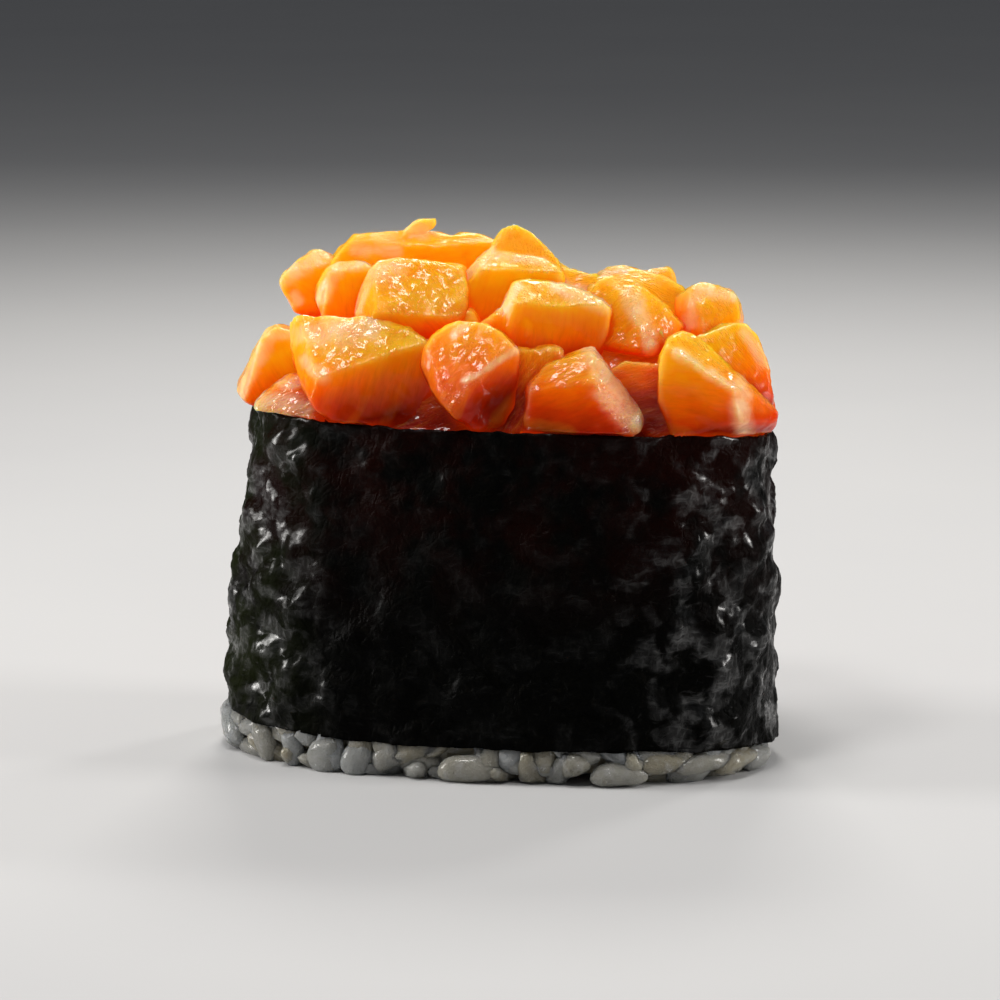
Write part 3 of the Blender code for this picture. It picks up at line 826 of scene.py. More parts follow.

# %% [markdown]
# ## Salmon
# Each piece is a block cut from the fillet with a knife: flat faces that have gone soft, edges a little
# round, and the wet flesh lets light in. The rest of how light falls on it is painted into the colour:
# painted light makes the top of the heap and the top of each piece golden, painted shade makes the flesh
# red low down and where the heap shelters it, a faint painted glow lights all of it and turns red in the
# creases, and the upper edges are painted pale, partly as pale flesh and partly as painted highlight.
# The CAD piece has the right place and outline. A copy of it is remeshed finely, smoothed, and then its
# faces are made uneven along the flesh's own layers by geometry nodes, which also store on each point
# what the material needs: where it lies in the piece's own directions, how close an edge is, whether the
# face was cut across the layers, and how deep in the heap it sits.

# %% Salmon material
def make_salmon_material():
    material, maker, shader = material_with(
        "salmon",
        Roughness=0.3,
        IOR=1.2,
        Subsurface_Weight=1.0,
        Subsurface_Radius=(1.0, 0.45, 0.08),
        Subsurface_Scale=0.006,
        Specular_IOR_Level=0.5,
        Emission_Strength=1.0,
        Coat_IOR=1.55,
        Coat_Roughness=0.07,
    )

    def stored(label, output="Fac"):
        return maker.add("ShaderNodeAttribute", {"attribute_name": label}, None, output)

    place = maker.add("ShaderNodeTexCoord", None, None, "Object") / MM
    flesh = stored("flesh", "Vector")
    labels = ("deep", "raw", "rise", "tint", "fat", "pale", "edge")
    deep, raw, rise, tint, fat, pale, edge = [stored(label) for label in labels]
    _, _, z = maker.apart(place)
    cloud = maker.noise(flesh, 0.22, 3.0, 0.55)
    # Painted light and shade: the colour runs from deep red to gold as a point lies higher in the heap and in its own
    # piece (painted light from above) and less sheltered by the heap (painted shade), with each piece's own tint and a
    # random cloud of tone.
    painted_light_and_tone = maker.smooth(z, 30.0, 50.0) + rise * 0.3 + tint - deep * 0.9 + (cloud - 0.5) * 0.25
    stops = [
        (0.0, (0.30, 0.009, 0.0002)),
        (0.25, (0.60, 0.042, 0.0002)),
        (0.5, (0.86, 0.145, 0.0003)),
        (0.75, (0.96, 0.270, 0.0006)),
        (1.0, (1.0, 0.400, 0.002)),
    ]
    colour = maker.add("ShaderNodeValToRGB", {"stops": stops}, {"Fac": painted_light_and_tone}, "Color")
    warp = (maker.noise(flesh, 0.16, 2.0, 0.5, 0.0, "Color") - 0.5) * 3.0
    rings = maker.maths("LENGTH", (flesh + warp) * (0.5, 1.0, 0.6) - (3.0, 9.0, -6.0))
    bands = maker.smooth(maker.maths("SINE", rings * 2.6), 0.3, 1.0)
    strands = maker.noise((flesh + warp * 0.3) * (0.35, 2.4, 2.4), 1.0, 3.0, 0.6)
    colour = colour * (0.82 + strands * 0.36)
    # Paler bands of fat, and paler upward faces: these are partly the paler rough cut and partly painted light from
    # above.
    lightness = bands * fat * (0.15 + strands * 0.5) + raw * maker.smooth(strands, 0.42, 0.75) * 0.25
    lightness = maker.add("ShaderNodeClamp", None, {"Value": lightness})
    colour = maker.blend(lightness * 0.8, colour, (1.0, 0.43, 0.03))
    # Pale upper edges away from the creases and the listed pale streaks: partly pale flesh and fat, partly a painted
    # highlight.
    pale_edge_and_highlight = edge * maker.smooth(rise + cloud, 0.3, 0.9) * (1.0 - deep)
    pale_and_highlight = pale * (0.35 + strands * 0.7 + bands * 0.35) + pale_edge_and_highlight * 0.22
    pale_and_highlight = maker.add("ShaderNodeClamp", None, {"Value": pale_and_highlight})
    colour = maker.blend(pale_and_highlight * 0.75, colour, (0.92, 0.60, 0.34))
    maker.feed(shader.inputs["Base Color"], colour)
    # Painted glow: the flesh gives off a faint light of its own colour everywhere and a red one in sheltered creases,
    # standing in for light that shines through it.
    painted_glow = maker.blend(maker.smooth(deep, 0.1, 0.6), colour * 0.06, (0.28, 0.014, 0.0002))
    maker.feed(shader.inputs["Emission Color"], painted_glow)
    ridges = maker.noise((flesh + warp * 0.25) * (0.5, 2.0, 2.0), 2.8, 2.0, 0.55, 0.4)
    glaze = maker.noise(place, 0.5, 2.0, 0.5)
    maker.feed(shader.inputs["Roughness"], 0.08 + 0.12 * glaze)
    maker.feed(shader.inputs["Coat Weight"], raw * 0.45 + pale * 0.1 + 0.05)
    height = ridges * (raw * 2.2 + 0.06) + strands * 0.15 + bands * fat * 0.2 + pale * bands * 0.3
    maker.feed(shader.inputs["Normal"], bump(maker, height, 0.0002, 1.0))
    return material


salmon_material = make_salmon_material()

# %% [markdown]
# The pieces that show in front are cut again, closer to the real ones than the CAD's blocks. Each cut
# starts from a large block. It is trimmed along an outline, whose planes all run through the viewer's
# eye, and then along its own faces. Towards the back it keeps the planes of the CAD piece. A piece with
# more than one cut is their union. What doesn't show in front keeps all of its CAD planes.

# %% The pieces
# Each piece: the direction of its fibres in the view, in degrees; how much paler it is than the painted
# light of its height makes it; how plain its bands of fat are; how rough its upper faces are, which also
# paints them paler; and up to two pale streaks, partly pale flesh and partly painted highlight, each from
# one spot to another in the view, with its half-breadth.
PIECES = {
    "upper_left_block": (-50, 0.02, 0.15, 1.0, (-12.6, 22.6, -10.6, 23.2, 2.2), (-14.0, 18.9, -13.2, 21.4, 0.8)),
    "front_banded": (60, -0.16, 0.45, 0.9, (1.6, 15.0, -3.4, 11.8, 0.7), (-4.6, 16.4, -3.4, 17.2, 0.8)),
    "front_left_block": (75, 0.12, 0.2, 1.0, (-19.0, 16.6, -13.5, 17.2, 3.4), (-19.4, 14.0, -17.8, 12.4, 1.3)),
    "front_wedge": (15, -0.08, 0.35, 1.0, (9.4, 14.4, 13.4, 8.2, 2.6), (10.4, 10.6, 13.0, 8.4, 2.4)),
    "front_right_block": (-8, 0.18, 0.25, 1.0, (17.6, 14.6, 24.6, 10.4, 1.1), (23.8, 11.4, 24.2, 7.6, 1.8)),
    "middle_block": (85, -0.05, 0.15, 1.0, (5.6, 21.6, 10.2, 19.4, 1.4), (0.2, 18.8, 1.8, 21.2, 1.0)),
    "peak": (70, 0.1, 0.15, 0.8, (-3.6, 22.0, -0.8, 24.6, 1.2), (-0.8, 24.4, 4.4, 23.8, 0.9)),
    "right_inner": (40, 0.0, 0.2, 0.9, (12.6, 20.6, 14.8, 16.4, 1.5), (13.6, 19.8, 14.8, 15.4, 1.4)),
    "left_overhang": (-60, 0.45, 0.1, 0.3, (-26.0, 10.6, -23.0, 16.6, 1.6), (-23.0, 16.6, -20.8, 16.6, 1.4)),
    "left_round": (-80, -0.05, 0.1, 0.2, (-17.8, 20.0, -16.2, 23.2, 1.4), (-16.2, 23.2, -13.4, 23.4, 1.0)),
    "left_top": (-30, 0.0, 0.1, 0.3, (-21.6, 22.2, -17.8, 24.6, 1.8), (-20.6, 20.4, -20.2, 19.8, 1.0)),
    "top_slab": (5, 0.15, 0.1, 0.2, (-14.6, 25.0, -10.4, 24.8, 1.2), (-9.0, 27.2, -7.6, 26.8, 1.6)),
    "right_knob": (-70, 0.0, 0.2, 0.9, (19.4, 20.6, 19.2, 17.6, 1.3), (19.4, 21.0, 23.4, 20.4, 1.4)),
    "behind_middle": (10, -0.05, 0.2, 0.8, (6.4, 21.6, 9.0, 20.6, 1.2)),
    "right_top": (-25, 0.1, 0.2, 0.6, (10.2, 22.9, 12.6, 22.8, 0.9), (12.4, 21.2, 14.6, 19.6, 1.0)),
    "right_side": (-50, 0.15, 0.2, 0.4, (25.4, 16.0, 26.6, 13.0, 1.0)),
    "right_middle": (-50, 0.22, 0.2, 0.5, (24.4, 16.6, 26.4, 13.6, 1.2)),
    "pocket_lower": (20, -0.12, 0.1, 1.5),
    "pocket_upper": (20, 0.1, 0.1, 1.4),
    "left_rim": (35, 0.1, 0.1, 1.7, (-24.0, 9.6, -19.6, 9.0, 2.2), (-21.6, 11.4, -20.4, 11.6, 1.2)),
    "low_left": (20, -0.2, 0.1, 1.4),
    "low_middle": (60, -0.2, 0.1, 1.6),
    "deep_left": (20, -0.1, 0.1, 0.5),
    "deep_far_left": (40, -0.1, 0.1, 0.5),
    "deep_right": (20, -0.1, 0.1, 0.5),
    "deep_middle": (70, -0.1, 0.1, 0.5),
    "back_left_block": (15, 0.0, 0.5, 1.0),
    "back_banded": (-60, 0.0, 0.9, 1.0),
    "back_wedge": (30, 0.0, 0.5, 0.8),
    "back_right_block": (-20, 0.0, 0.4, 1.0),
    "back_upper": (60, 0.05, 0.4, 1.0),
    "back_right_top": (-50, 0.05, 0.4, 1.0),
}
VOXEL = 0.22
SMOOTHING = 3
FACE_OUT = 0.15
EDGE_OUT = 0.42
FACE_BREADTH = 1.0


def merged(name):
    """A copy of a CAD piece's mesh with its loose triangles merged into flat faces."""
    shape = bmesh.new()
    shape.from_mesh(nodes["salmon_" + name].data)
    bmesh.ops.remove_doubles(shape, verts=shape.verts[:], dist=0.001 * MM)
    bmesh.ops.dissolve_limit(shape, angle_limit=math.radians(0.6), verts=shape.verts[:], edges=shape.edges[:])
    return shape


# %% Cuts
# Each piece: its cuts, and each cut: its outline as (across, up) in millimetres from the view's middle,
# and its faces as (across, up, near, pan, tilt): a point on the face, how near it is to the viewer, and
# how many degrees the face looks to the right of the viewer and above.
CUTS = {
    "front_left_block": [
        (
            [(-20.9, 18.2), (-20.4, 19.6), (-13.8, 18.6), (-9, 17), (-6.8, 15), (-6.8, 11.5), (-9.5, 7.5), (-15.5, 7.1), (-18.4, 9.3), (-19.8, 11.6), (-20.8, 15.5)],
            [(-18.2, 12.2, 15.2, -4, 43), (-18.2, 12.2, 15.2, -62, 8), (-18.2, 12.2, 15.2, 17, -10)],
        ),
    ],
    "upper_left_block": [
        (
            [(-14.2, 18.7), (-13.8, 20.4), (-13, 23), (-12.1, 24), (-10, 24), (-5.5, 23.6), (-3.8, 23.2), (-3.3, 21), (-3.7, 18.4), (-6, 16.8), (-10, 16.2), (-13, 16.2)],
            [(-9, 20, 9, 4, 38), (-12.8, 21.5, 7.6, -55, 20), (-8, 18.2, 10.2, 0, -20)],
        ),
    ],
    "left_round": [
        (
            [(-18.3, 20), (-18.2, 21.4), (-17.2, 23.2), (-16.2, 23.8), (-14.2, 23.8), (-12.6, 23), (-12, 20), (-12.8, 17.4), (-17.2, 17.4)],
            [(-15.7, 20.5, 3.6, 10, 10), (-17.5, 22, 3, -45, 15), (-15.5, 23.2, 2.8, 0, 50)],
        ),
    ],
    "left_top": [
        (
            [(-21.9, 21.9), (-21.6, 22.4), (-20, 23.9), (-18.7, 24.8), (-17.8, 24.9), (-17, 24.3), (-16.3, 23), (-15.8, 20), (-18, 18.4), (-20.5, 19), (-21.4, 20.6)],
            [(-19.5, 21, -1.5, -6, 4), (-20, 23.2, -1.8, -20, 45)],
        ),
    ],
    "top_slab": [
        (
            [(-16.7, 23.8), (-15.7, 25.2), (-14.6, 26.4), (-10, 26.7), (-6, 26.6), (-4.3, 26), (-3, 20), (-15.5, 20), (-16.7, 21.5)],
            [(-7.7, 24.4, 1.2, -4, 6), (-8, 25.7, 0.9, 0, 55)],
        ),
        (
            [(-6.4, 20), (-6.2, 25.6), (-3.8, 26.6), (-2.2, 26.5), (-0.2, 25.7), (1.2, 23.8), (0.5, 20)],
            [(-3, 24.4, 1.2, 2, 6), (-3, 25.7, 0.9, 2, 55)],
        ),
        (
            [(-10, 26.2), (-9.3, 27.1), (-8.6, 27.6), (-7.4, 26.9), (-7, 26.2), (-8, 25), (-9.5, 25)],
            [(-8.5, 27, 0, 10, 10), (-8.5, 27, -0.9, 180, 0)],
        ),
        (
            [(-9, 27.3), (-8.7, 27.6), (-7.5, 28.1), (-6.7, 28.1), (-6.7, 27.8), (-7.7, 26.8)],
            [(-8, 27.5, -0.1, 0, 10), (-8, 27.5, -0.8, 180, 0)],
        ),
    ],
    "peak": [
        (
            [(-1.4, 23.6), (-0.4, 25.7), (0.3, 27), (1.1, 27.4), (1.8, 27.4), (2.6, 27), (5.7, 24.1), (6.2, 22.5), (6, 20), (-1, 20)],
            [(1.5, 25.5, 3.4, 6, 22)],
        ),
        (
            [(-6.2, 17.8), (-3.8, 21.9), (-2.2, 23.8), (-0.9, 25), (4.5, 23.9), (5.6, 23.4), (6.1, 22.4), (4.5, 19.8), (0.8, 18.2), (-2, 17), (-5.8, 16.8)],
            [(0, 21, 6.9, -8, -2), (0, 23.8, 5.8, -5, 55), (-3.5, 21.5, 5.6, -50, 25)],
        ),
    ],
    "middle_block": [
        (
            [(-0.1, 18.2), (1.4, 21.6), (3, 22.1), (6.2, 21.6), (10, 20), (10.9, 19.1), (10.4, 16.3), (9.2, 13.6), (4, 12.6), (0.3, 14.8)],
            [(5.5, 19.7, 13, 4, 52), (5.5, 19.5, 13.2, 4, -14), (0.5, 18.5, 12.2, -50, -5)],
        ),
        (
            [(-1.6, 17.6), (0, 18.9), (2, 19.2), (3, 17), (1.5, 14.8), (-0.2, 15.5)],
            [(0.5, 18, 12.4, -20, -10), (-0.2, 18.6, 12, -10, 50)],
        ),
    ],
    "front_banded": [
        (
            [(-7.6, 13.4), (-7.4, 15), (-6.6, 16.2), (-5.2, 17.3), (-3.8, 17.7), (-1.8, 17.6), (0, 16.7), (1.9, 14.9), (0.9, 9.5), (0, 7.5), (-2.2, 7.1), (-4.5, 8.4), (-6.4, 10.7)],
            [(-3, 13.5, 16.2, -8, 27), (-3, 10.5, 17.4, 32, -10), (-7, 14, 15, -58, 0)],
        ),
    ],
    "front_wedge": [
        (
            [(2.6, 6), (3, 11.2), (4.8, 13.4), (7.5, 14.4), (9.2, 14.9), (12.4, 10.9), (14.1, 8.1), (13.9, 7), (12.2, 6.1), (9, 5.8)],
            [(7.5, 10, 18.2, -14, 4), (11.2, 10.5, 17.6, 42, 25), (6.5, 12.6, 17, -20, 36)],
        ),
    ],
    "right_inner": [
        (
            [(9, 20), (9.7, 21.7), (11.2, 22.3), (13.5, 21.7), (16, 19.7), (18.1, 17.5), (16.8, 15.3), (14.5, 14.8), (10.5, 15.5), (9.5, 17.5)],
            [(11.8, 18.5, 11.2, -28, 22), (15.5, 18, 11, 34, 22), (12.5, 21.2, 9.8, 0, 52)],
        ),
    ],
    "right_top": [
        (
            [(9, 21.3), (10.2, 22.8), (11, 23.2), (12.2, 23.2), (16.6, 22.2), (18, 21.4), (19.3, 20), (20, 17.5), (19, 15.3), (14, 15.3), (10, 18)],
            [(15, 20, 4.6, 8, 26), (13, 22.5, 2.5, 0, 54)],
        ),
    ],
    "behind_middle": [
        (
            [(4.5, 23), (7.5, 22.9), (10.4, 22.3), (11.6, 20), (10, 16.8), (5, 16.8)],
            [(8, 21.5, 3.5, 0, 20)],
        ),
    ],
    "right_knob": [
        (
            [(17.9, 20.3), (18.6, 21), (19.4, 21.5), (20.1, 21.7), (22.2, 21.1), (23.2, 20.7), (24, 19.4), (24.2, 18.4), (23.9, 16.3), (22.5, 15.3), (19, 15.7), (18, 17.5)],
            [(21.8, 18.2, 7.6, 14, 24), (19.3, 19, 6.8, -50, 10), (21.2, 20.7, 6, 4, 50)],
        ),
    ],
    "right_middle": [
        (
            [(19.8, 16.3), (23.5, 17.5), (24.6, 17.4), (25.7, 16.2), (26.7, 14), (27, 11.5), (27.2, 9), (24.5, 9.8), (21.2, 11.8), (19.8, 13.8)],
            [(24, 14, 10.6, 24, 16)],
        ),
    ],
    "front_right_block": [
        (
            [(16.1, 10), (16.2, 14.3), (17, 16), (18.2, 16.8), (20, 16.1), (27.1, 9.3), (27.8, 8.5), (27.5, 7.4), (26.5, 6.5), (22, 5.8), (17.8, 6)],
            [(21.2, 12.4, 17.4, 50, 45), (19.5, 12, 17.6, 6, -8), (24.5, 9, 15.8, 50, 5)],
        ),
    ],
    "left_overhang": [
        (
            [(-26.2, 10.9), (-26, 11.7), (-23.8, 16.1), (-23, 17), (-22.2, 17.4), (-20.8, 16.9), (-19.6, 15), (-19.4, 11.3), (-21, 9.8), (-24.4, 9.5), (-25.4, 9.9)],
            [(-23.2, 13.2, 4.8, -4, 4), (-25, 13.5, 3.8, -60, 15)],
        ),
    ],
    "low_left": [
        (
            [(-15.5, 9.8), (-10.5, 13.8), (-7.2, 15.8), (-2.5, 12), (0.3, 6.4), (-15.5, 6.4)],
            [(-7, 10.5, 11.6, -6, 12)],
        ),
    ],
    "deep_far_left": [
        (
            [(-18.6, 12.6), (-19.2, 15.8), (-17.4, 17.2), (-13.6, 17.6), (-11, 16.6), (-11, 12.6)],
            [(-14, 16, 7.4, 0, 10)],
        ),
    ],
    "deep_left": [
        (
            [(-11.5, 15), (-9.5, 18.4), (-3, 18.8), (-1.4, 15.5), (-5.5, 11.5), (-10.5, 11.5)],
            [(-6.5, 15.5, 9.6, 0, 12)],
        ),
    ],
    "low_middle": [
        (
            [(-0.6, 11), (0.6, 15), (6, 15), (6.6, 6.4), (-0.4, 6.4)],
            [(2.2, 11, 14.2, 0, 4)],
        ),
    ],
    "pocket_upper": [
        (
            [(8.3, 16.8), (16.2, 16.8), (17, 11.8), (10, 10.6), (8.3, 12.8)],
            [(13, 14.5, 11.6, -5, 10)],
        ),
    ],
    "pocket_lower": [
        (
            [(9.8, 12), (12.6, 14), (17.4, 13), (18.4, 6.2), (11.6, 6)],
            [(14, 10, 15.4, 0, -4)],
        ),
    ],
    "left_rim": [
        (
            [(-24.4, 9.6), (-21, 12.3), (-20.2, 12.1), (-18.6, 10), (-18, 7.8), (-21, 8), (-24.4, 9)],
            [(-21, 9.8, 8, -10, 35)],
        ),
    ],
}

SIDEWAYS = Vector((math.cos(VIEW_AROUND), math.sin(VIEW_AROUND), 0.0))
UPWARD = away.cross(SIDEWAYS)


def sight(across, up, near=0.0):
    """A point that is met this far across and up, and this much nearer than the view's middle."""
    point = AIM + (SIDEWAYS * across + UPWARD * up) * MM
    return camera.location + (point - camera.location) * (1 - near * MM / VIEW_DISTANCE)


def facing(pan, tilt):
    pan, tilt = math.radians(pan), math.radians(tilt)
    return (away * math.cos(pan) + SIDEWAYS * math.sin(pan)) * math.cos(tilt) + UPWARD * math.sin(tilt)


def cad_planes(name):
    """The planes of a CAD piece's broad faces and of its narrow ones, as points and normals."""
    source = merged(name)
    broad, narrow = [], []
    for face in source.faces:
        breadth = 2 * face.calc_area() / face.calc_perimeter()
        planes, out = (broad, FACE_OUT) if breadth > FACE_BREADTH * MM else (narrow, EDGE_OUT)
        planes.append((face.calc_center_median() + face.normal * out * MM, face.normal.copy()))
    source.free()
    return broad, narrow


def cut_planes(outline, faces):
    """The planes of a cut: one along each side of its outline, and its own faces."""
    eye = camera.location
    middle = sum((sight(*spot) for spot in outline), Vector()) / len(outline)
    planes = []
    for one, other in zip(outline, outline[1:] + outline[:1]):
        normal = (sight(*one) - eye).cross(sight(*other) - eye).normalized()
        if (middle - eye).dot(normal) > 0:
            normal = -normal
        planes.append((sight(*one), normal))
    for across, up, near, pan, tilt in faces:
        planes.append((sight(across, up, near), facing(pan, tilt)))
    return planes


def knife_cut(name, inset=0.0):
    """A piece as a large block cut along each of its planes, which can all be moved in."""
    low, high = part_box("salmon_" + name)
    broad, narrow = cad_planes(name)
    cuts = [broad + narrow]
    if name in CUTS:
        behind = [(point, normal) for point, normal in broad if normal.dot(away) < -0.3 or normal.z < -0.6]
        cuts = [behind + cut_planes(outline, faces) for outline, faces in CUTS[name]]
        if name.startswith("deep_"):
            cuts.append(broad + narrow)
    whole = bmesh.new()
    for planes in cuts:
        shape = bmesh.new()
        bmesh.ops.create_cube(shape, size=40 * MM)
        for vertex in shape.verts:
            vertex.co += (low + high) / 2
        for point, normal in planes:
            everything = shape.verts[:] + shape.edges[:] + shape.faces[:]
            point = point - normal * inset * MM
            cut = bmesh.ops.bisect_plane(shape, geom=everything, plane_co=point, plane_no=normal, clear_outer=True)
            edges = [item for item in cut["geom_cut"] if isinstance(item, bmesh.types.BMEdge)]
            if len(edges) > 2:
                bmesh.ops.holes_fill(shape, edges=edges)
        part = bpy.data.meshes.new("cut")
        shape.to_mesh(part)
        shape.free()
        whole.from_mesh(part)
        bpy.data.meshes.remove(part)
    return whole


# %% The heap that hides the light
def make_heap():
    """All the pieces, a little shrunk, as one mesh: the recipe casts rays at it to tell how deep a point sits."""
    whole = bmesh.new()
    for name in PIECES:
        shape = knife_cut(name, 0.6)
        part = bpy.data.meshes.new("part")
        shape.to_mesh(part)
        shape.free()
        whole.from_mesh(part)
        bpy.data.meshes.remove(part)
    whole.from_mesh(nodes["nori"].data)
    mesh = bpy.data.meshes.new("heap")
    whole.to_mesh(mesh)
    whole.free()
    return bpy.data.objects.new("heap", mesh)


heap = make_heap()


# %% Salmon's geometry nodes
def shelter(recipe, position, normal):
    """The share of the rays from a point that soon meet the rest of the heap."""
    target = recipe.add("GeometryNodeObjectInfo", None, {"Object": recipe.given("Heap")}, "Geometry")
    count, total = 14, 0.0
    for index in range(count):
        up = 1 - 2 * (index + 0.5) / count
        around = index * 2.39996
        side = math.sqrt(1 - up * up)
        lean = (side * math.cos(around) * 0.92, side * math.sin(around) * 0.92, up * 0.92)
        ray = {
            "Target Geometry": target,
            "Source Position": position + normal * (0.12 * MM),
            "Ray Direction": normal + lean,
            "Ray Length": recipe.given("Reach") * MM,
        }
        met = recipe.add("GeometryNodeRaycast", None, ray, "Is Hit")
        far = Value(recipe, met.socket.node.outputs["Hit Distance"]) / (recipe.given("Reach") * MM)
        total = recipe.maths("MULTIPLY", met, 1.0 - far) + total
    return total / count


def blurred(recipe, value, times, kind="FLOAT"):
    return recipe.add("GeometryNodeBlurAttribute", {"data_type": kind}, {"Value": value, "Iterations": times})


def streak(recipe, seen, label):
    """How much of a pale streak lies on a point, partly pale flesh and partly painted highlight: it runs between two
    spots in the view, fading to its sides.
    """
    start, end = recipe.given(label + "_from"), recipe.given(label + "_to")
    _, _, reach = recipe.apart(end)
    start, end = start * (1.0, 1.0, 0.0), end * (1.0, 1.0, 0.0)
    run = end - start
    share = recipe.maths("DOT_PRODUCT", seen - start, run) / (recipe.maths("DOT_PRODUCT", run, run) + 0.001)
    share = recipe.maths("MINIMUM", recipe.maths("MAXIMUM", share, 0.0), 1.0)
    off = recipe.maths("DISTANCE", seen, start + run * recipe.together(share, share, share))
    return 1.0 - recipe.smooth(off, 0.0, reach)


def salmon_recipe():
    recipe = Recipe(
        "salmon_flesh",
        Middle=(0.0, 0.0, 0.0),
        Fibre=0.0,
        Growth=0.12,
        Closing=0.8,
        Drift=0.3,
        Swell=0.55,
        Dents=0.4,
        Layers=0.06,
        Rough=0.13,
        Reach=7.0,
        Seed=0.0,
        Tint=0.0,
        Fat=0.5,
        Raw=1.0,
        First_from=(99.0, 0.0, 0.0),
        First_to=(99.0, 1.0, 1.0),
        Second_from=(99.0, 0.0, 0.0),
        Second_to=(99.0, 1.0, 1.0),
        Heap="object",
        Material="material",
    )
    solid = recipe.given("Geometry")
    position = recipe.add("GeometryNodeInputPosition")
    normal = recipe.add("GeometryNodeInputNormal")
    place = position / MM
    offset = place - tuple(AIM / MM)
    across = recipe.maths("DOT_PRODUCT", offset, tuple(SIDEWAYS))
    up = recipe.maths("DOT_PRODUCT", offset, tuple(UPWARD))
    near = recipe.maths("DOT_PRODUCT", offset, tuple(away))
    seen = recipe.together(across, up, 0.0) / (1.0 - near * MM / VIEW_DISTANCE)
    angle = recipe.given("Fibre")
    along = across * recipe.maths("COSINE", angle) + up * recipe.maths("SINE", angle)
    beside = up * recipe.maths("COSINE", angle) - across * recipe.maths("SINE", angle)
    flesh = recipe.together(along, beside, near) + recipe.given("Seed") * 7.3
    _, _, upward = recipe.apart(normal)
    softer = blurred(recipe, position, 26, "FLOAT_VECTOR")
    bulge = recipe.maths("DOT_PRODUCT", position - softer, normal) / MM
    wet = recipe.maths("MAXIMUM", recipe.given("Raw") - 1.0, 0.0)
    torn = recipe.smooth(recipe.noise(flesh + 20.0, 0.33, 3.0, 0.55), 0.38, 0.56)
    raw = recipe.smooth(upward, 0.2, 0.6) * recipe.given("Raw") * (0.15 + torn * 0.85) + wet
    raw = recipe.maths("MINIMUM", raw, 1.0)
    patch = recipe.noise(flesh, 0.6, 4.0, 0.6)
    # Pale streaks: partly pale flesh, partly painted highlight.
    pale = recipe.maths("MAXIMUM", streak(recipe, seen, "First"), streak(recipe, seen, "Second"))
    pale = pale * recipe.smooth(patch + pale * 0.4, 0.5, 0.85)
    # How sheltered a point is: it pushes the creases shut, and the material paints shade and a red glow with it.
    deep = blurred(recipe, shelter(recipe, position, normal), 5)
    marked = recipe.store(solid, "flesh", flesh, "FLOAT_VECTOR")
    _, _, above = recipe.apart(place - recipe.given("Middle"))
    # rise makes the top of each piece golden as painted light from above; edge gives the painted pale edges.
    marks = {"edge": recipe.smooth(bulge, 0.06, 0.36), "raw": raw, "deep": deep, "pale": pale, "rise": above / 5.0}
    marks.update(tint=recipe.given("Tint"), fat=recipe.given("Fat"))
    for label, value in marks.items():
        marked = recipe.store(marked, label, value)
    drift = recipe.noise(place + (3.0, 11.0, 5.0), 0.2, 2.0, 0.5, 0.0, "Color") - 0.5
    place = place + normal * flesh_relief(recipe) + drift * recipe.given("Drift") * 2.0
    place = within_wrap(recipe, place, RIM_HIGH, HIGH_WAVES, -0.85, 6.0, 1.0)
    low, high = [tuple(corner / MM) for corner in cad_box]
    place = recipe.maths("MINIMUM", recipe.maths("MAXIMUM", place, low), high)
    moved = {"Geometry": marked, "Position": place * MM}
    recipe.finish(recipe.add("GeometryNodeSetPosition", None, moved))
    return recipe


def flesh_relief(recipe):
    """How far the flesh stands out, in millimetres: swollen faces, dents, layers, and the crumb of a rough cut."""
    flesh = recipe.attribute("flesh", "FLOAT_VECTOR")
    raw = recipe.attribute("raw")
    swell = (recipe.noise(flesh, 0.2, 1.0, 0.5) - 0.5) * recipe.given("Swell")
    dents = (recipe.noise(flesh, 0.55, 2.0, 0.5) - 0.5) * recipe.given("Dents")
    warp = (recipe.noise(flesh, 0.16, 2.0, 0.5, 0.0, "Color") - 0.5) * 3.0
    rings = recipe.maths("LENGTH", (flesh + warp) * (0.5, 1.0, 0.6) - (3.0, 9.0, -6.0))
    layers = recipe.maths("SINE", rings * 2.6) * recipe.given("Layers") * (raw * 0.7 + 0.3)
    crumb = recipe.noise((flesh + warp * 0.25) * (0.6, 1.7, 1.7), 0.9, 3.0, 0.6) - 0.5
    closing = recipe.attribute("deep") * recipe.given("Closing")
    return closing + recipe.given("Growth") + swell + dents + layers + crumb * recipe.given("Rough") * (raw * 4.0 + 0.3)


salmon_tree = salmon_recipe()

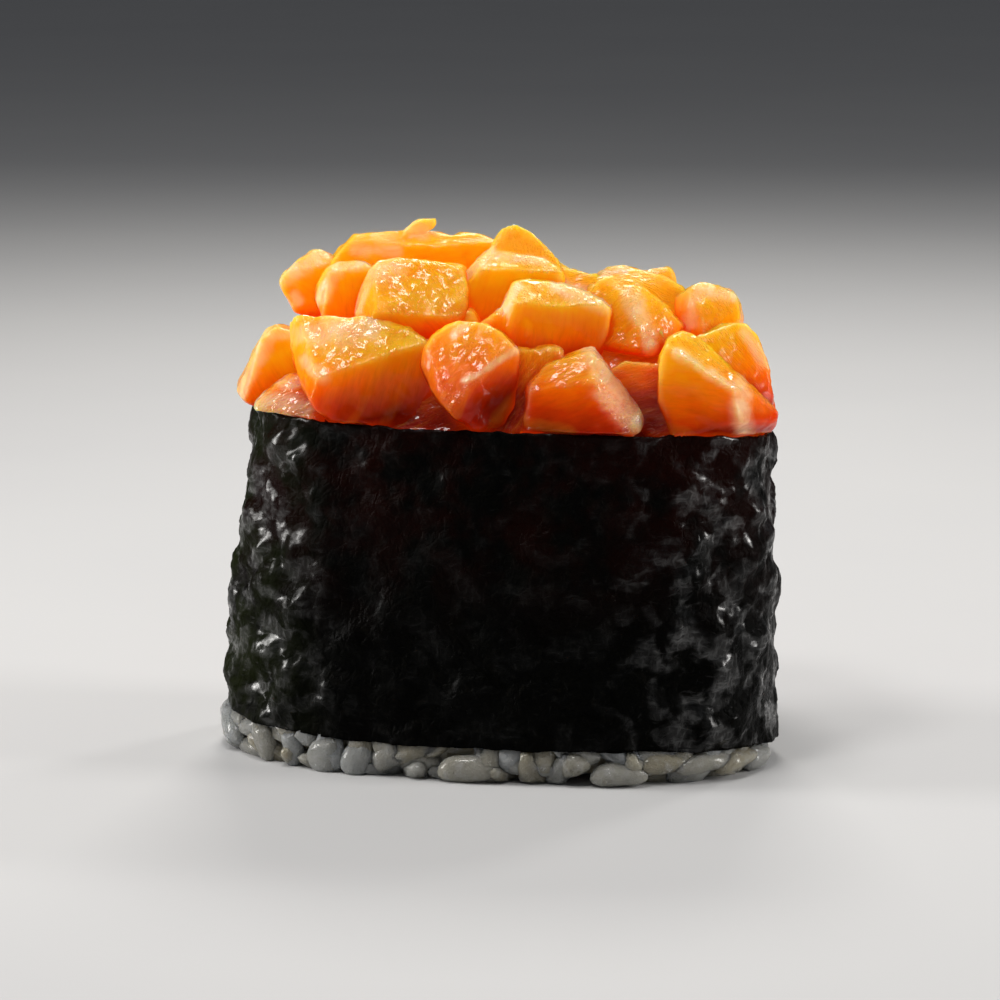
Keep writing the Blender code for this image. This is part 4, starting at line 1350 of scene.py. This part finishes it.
# %% Making the pieces
def make_salmon(number, name, row):
    """One piece of flesh: cut, remeshed, smoothed and given its surface."""
    fibre, tint, fat, raw, *streaks = row
    shape = knife_cut(name)
    mesh = bpy.data.meshes.new(name)
    shape.to_mesh(mesh)
    shape.free()
    base = bpy.data.objects.new(name, mesh)
    scene.collection.objects.link(base)
    remesh = base.modifiers.new("remesh", "REMESH")
    remesh.mode = "VOXEL"
    remesh.voxel_size = VOXEL * MM
    smooth = base.modifiers.new("smooth", "SMOOTH")
    smooth.factor = 0.5
    smooth.iterations = SMOOTHING
    low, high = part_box("salmon_" + name)
    values = {}
    for label, (across, up, across_to, up_to, reach) in zip(("First", "Second"), streaks):
        values[label + "_from"] = (across, up, 0.0)
        values[label + "_to"] = (across_to, up_to, reach)
    attach(
        base,
        salmon_tree,
        Middle=(low + high) / 2 / MM,
        Fibre=math.radians(fibre),
        Seed=float(number),
        Tint=tint,
        Fat=fat,
        Raw=raw,
        Heap=heap,
        Material=salmon_material,
        **values,
    )
    piece = plain_mesh(base, "flesh_" + name)
    piece.data.materials.clear()
    piece.data.materials.append(salmon_material)
    return piece


total = 0
for number, (name, row) in enumerate(PIECES.items()):
    piece = make_salmon(number, name, row)
    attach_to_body(piece, "root")
    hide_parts("salmon_" + name)
    total += len(piece.data.polygons)
print("salmon:", total, "faces on", len(PIECES), "pieces")

# %% [markdown]
# ## Floor
# A plain pale floor, wide enough to fill the view, on which the sushi stands.

# %% Floor
FLOOR_REACH = 1.5


def make_floor():
    mesh = bpy.data.meshes.new("floor")
    corners = [(-FLOOR_REACH, -FLOOR_REACH), (FLOOR_REACH, -FLOOR_REACH), (FLOOR_REACH, FLOOR_REACH), (-FLOOR_REACH, FLOOR_REACH)]
    mesh.from_pydata([(x, y, 0.0) for x, y in corners], [], [(0, 1, 2, 3)])
    floor = bpy.data.objects.new("floor", mesh)
    scene.collection.objects.link(floor)
    material, maker, shader = material_with("pale_floor", Roughness=0.7, Specular_IOR_Level=0.2)
    place = maker.add("ShaderNodeTexCoord", None, None, "Object")
    cloud = maker.noise(place, 9.0, 3.0, 0.6)
    maker.feed(shader.inputs["Base Color"], maker.blend(cloud, (0.50, 0.50, 0.51), (0.55, 0.55, 0.55)))
    mesh.materials.append(material)


make_floor()
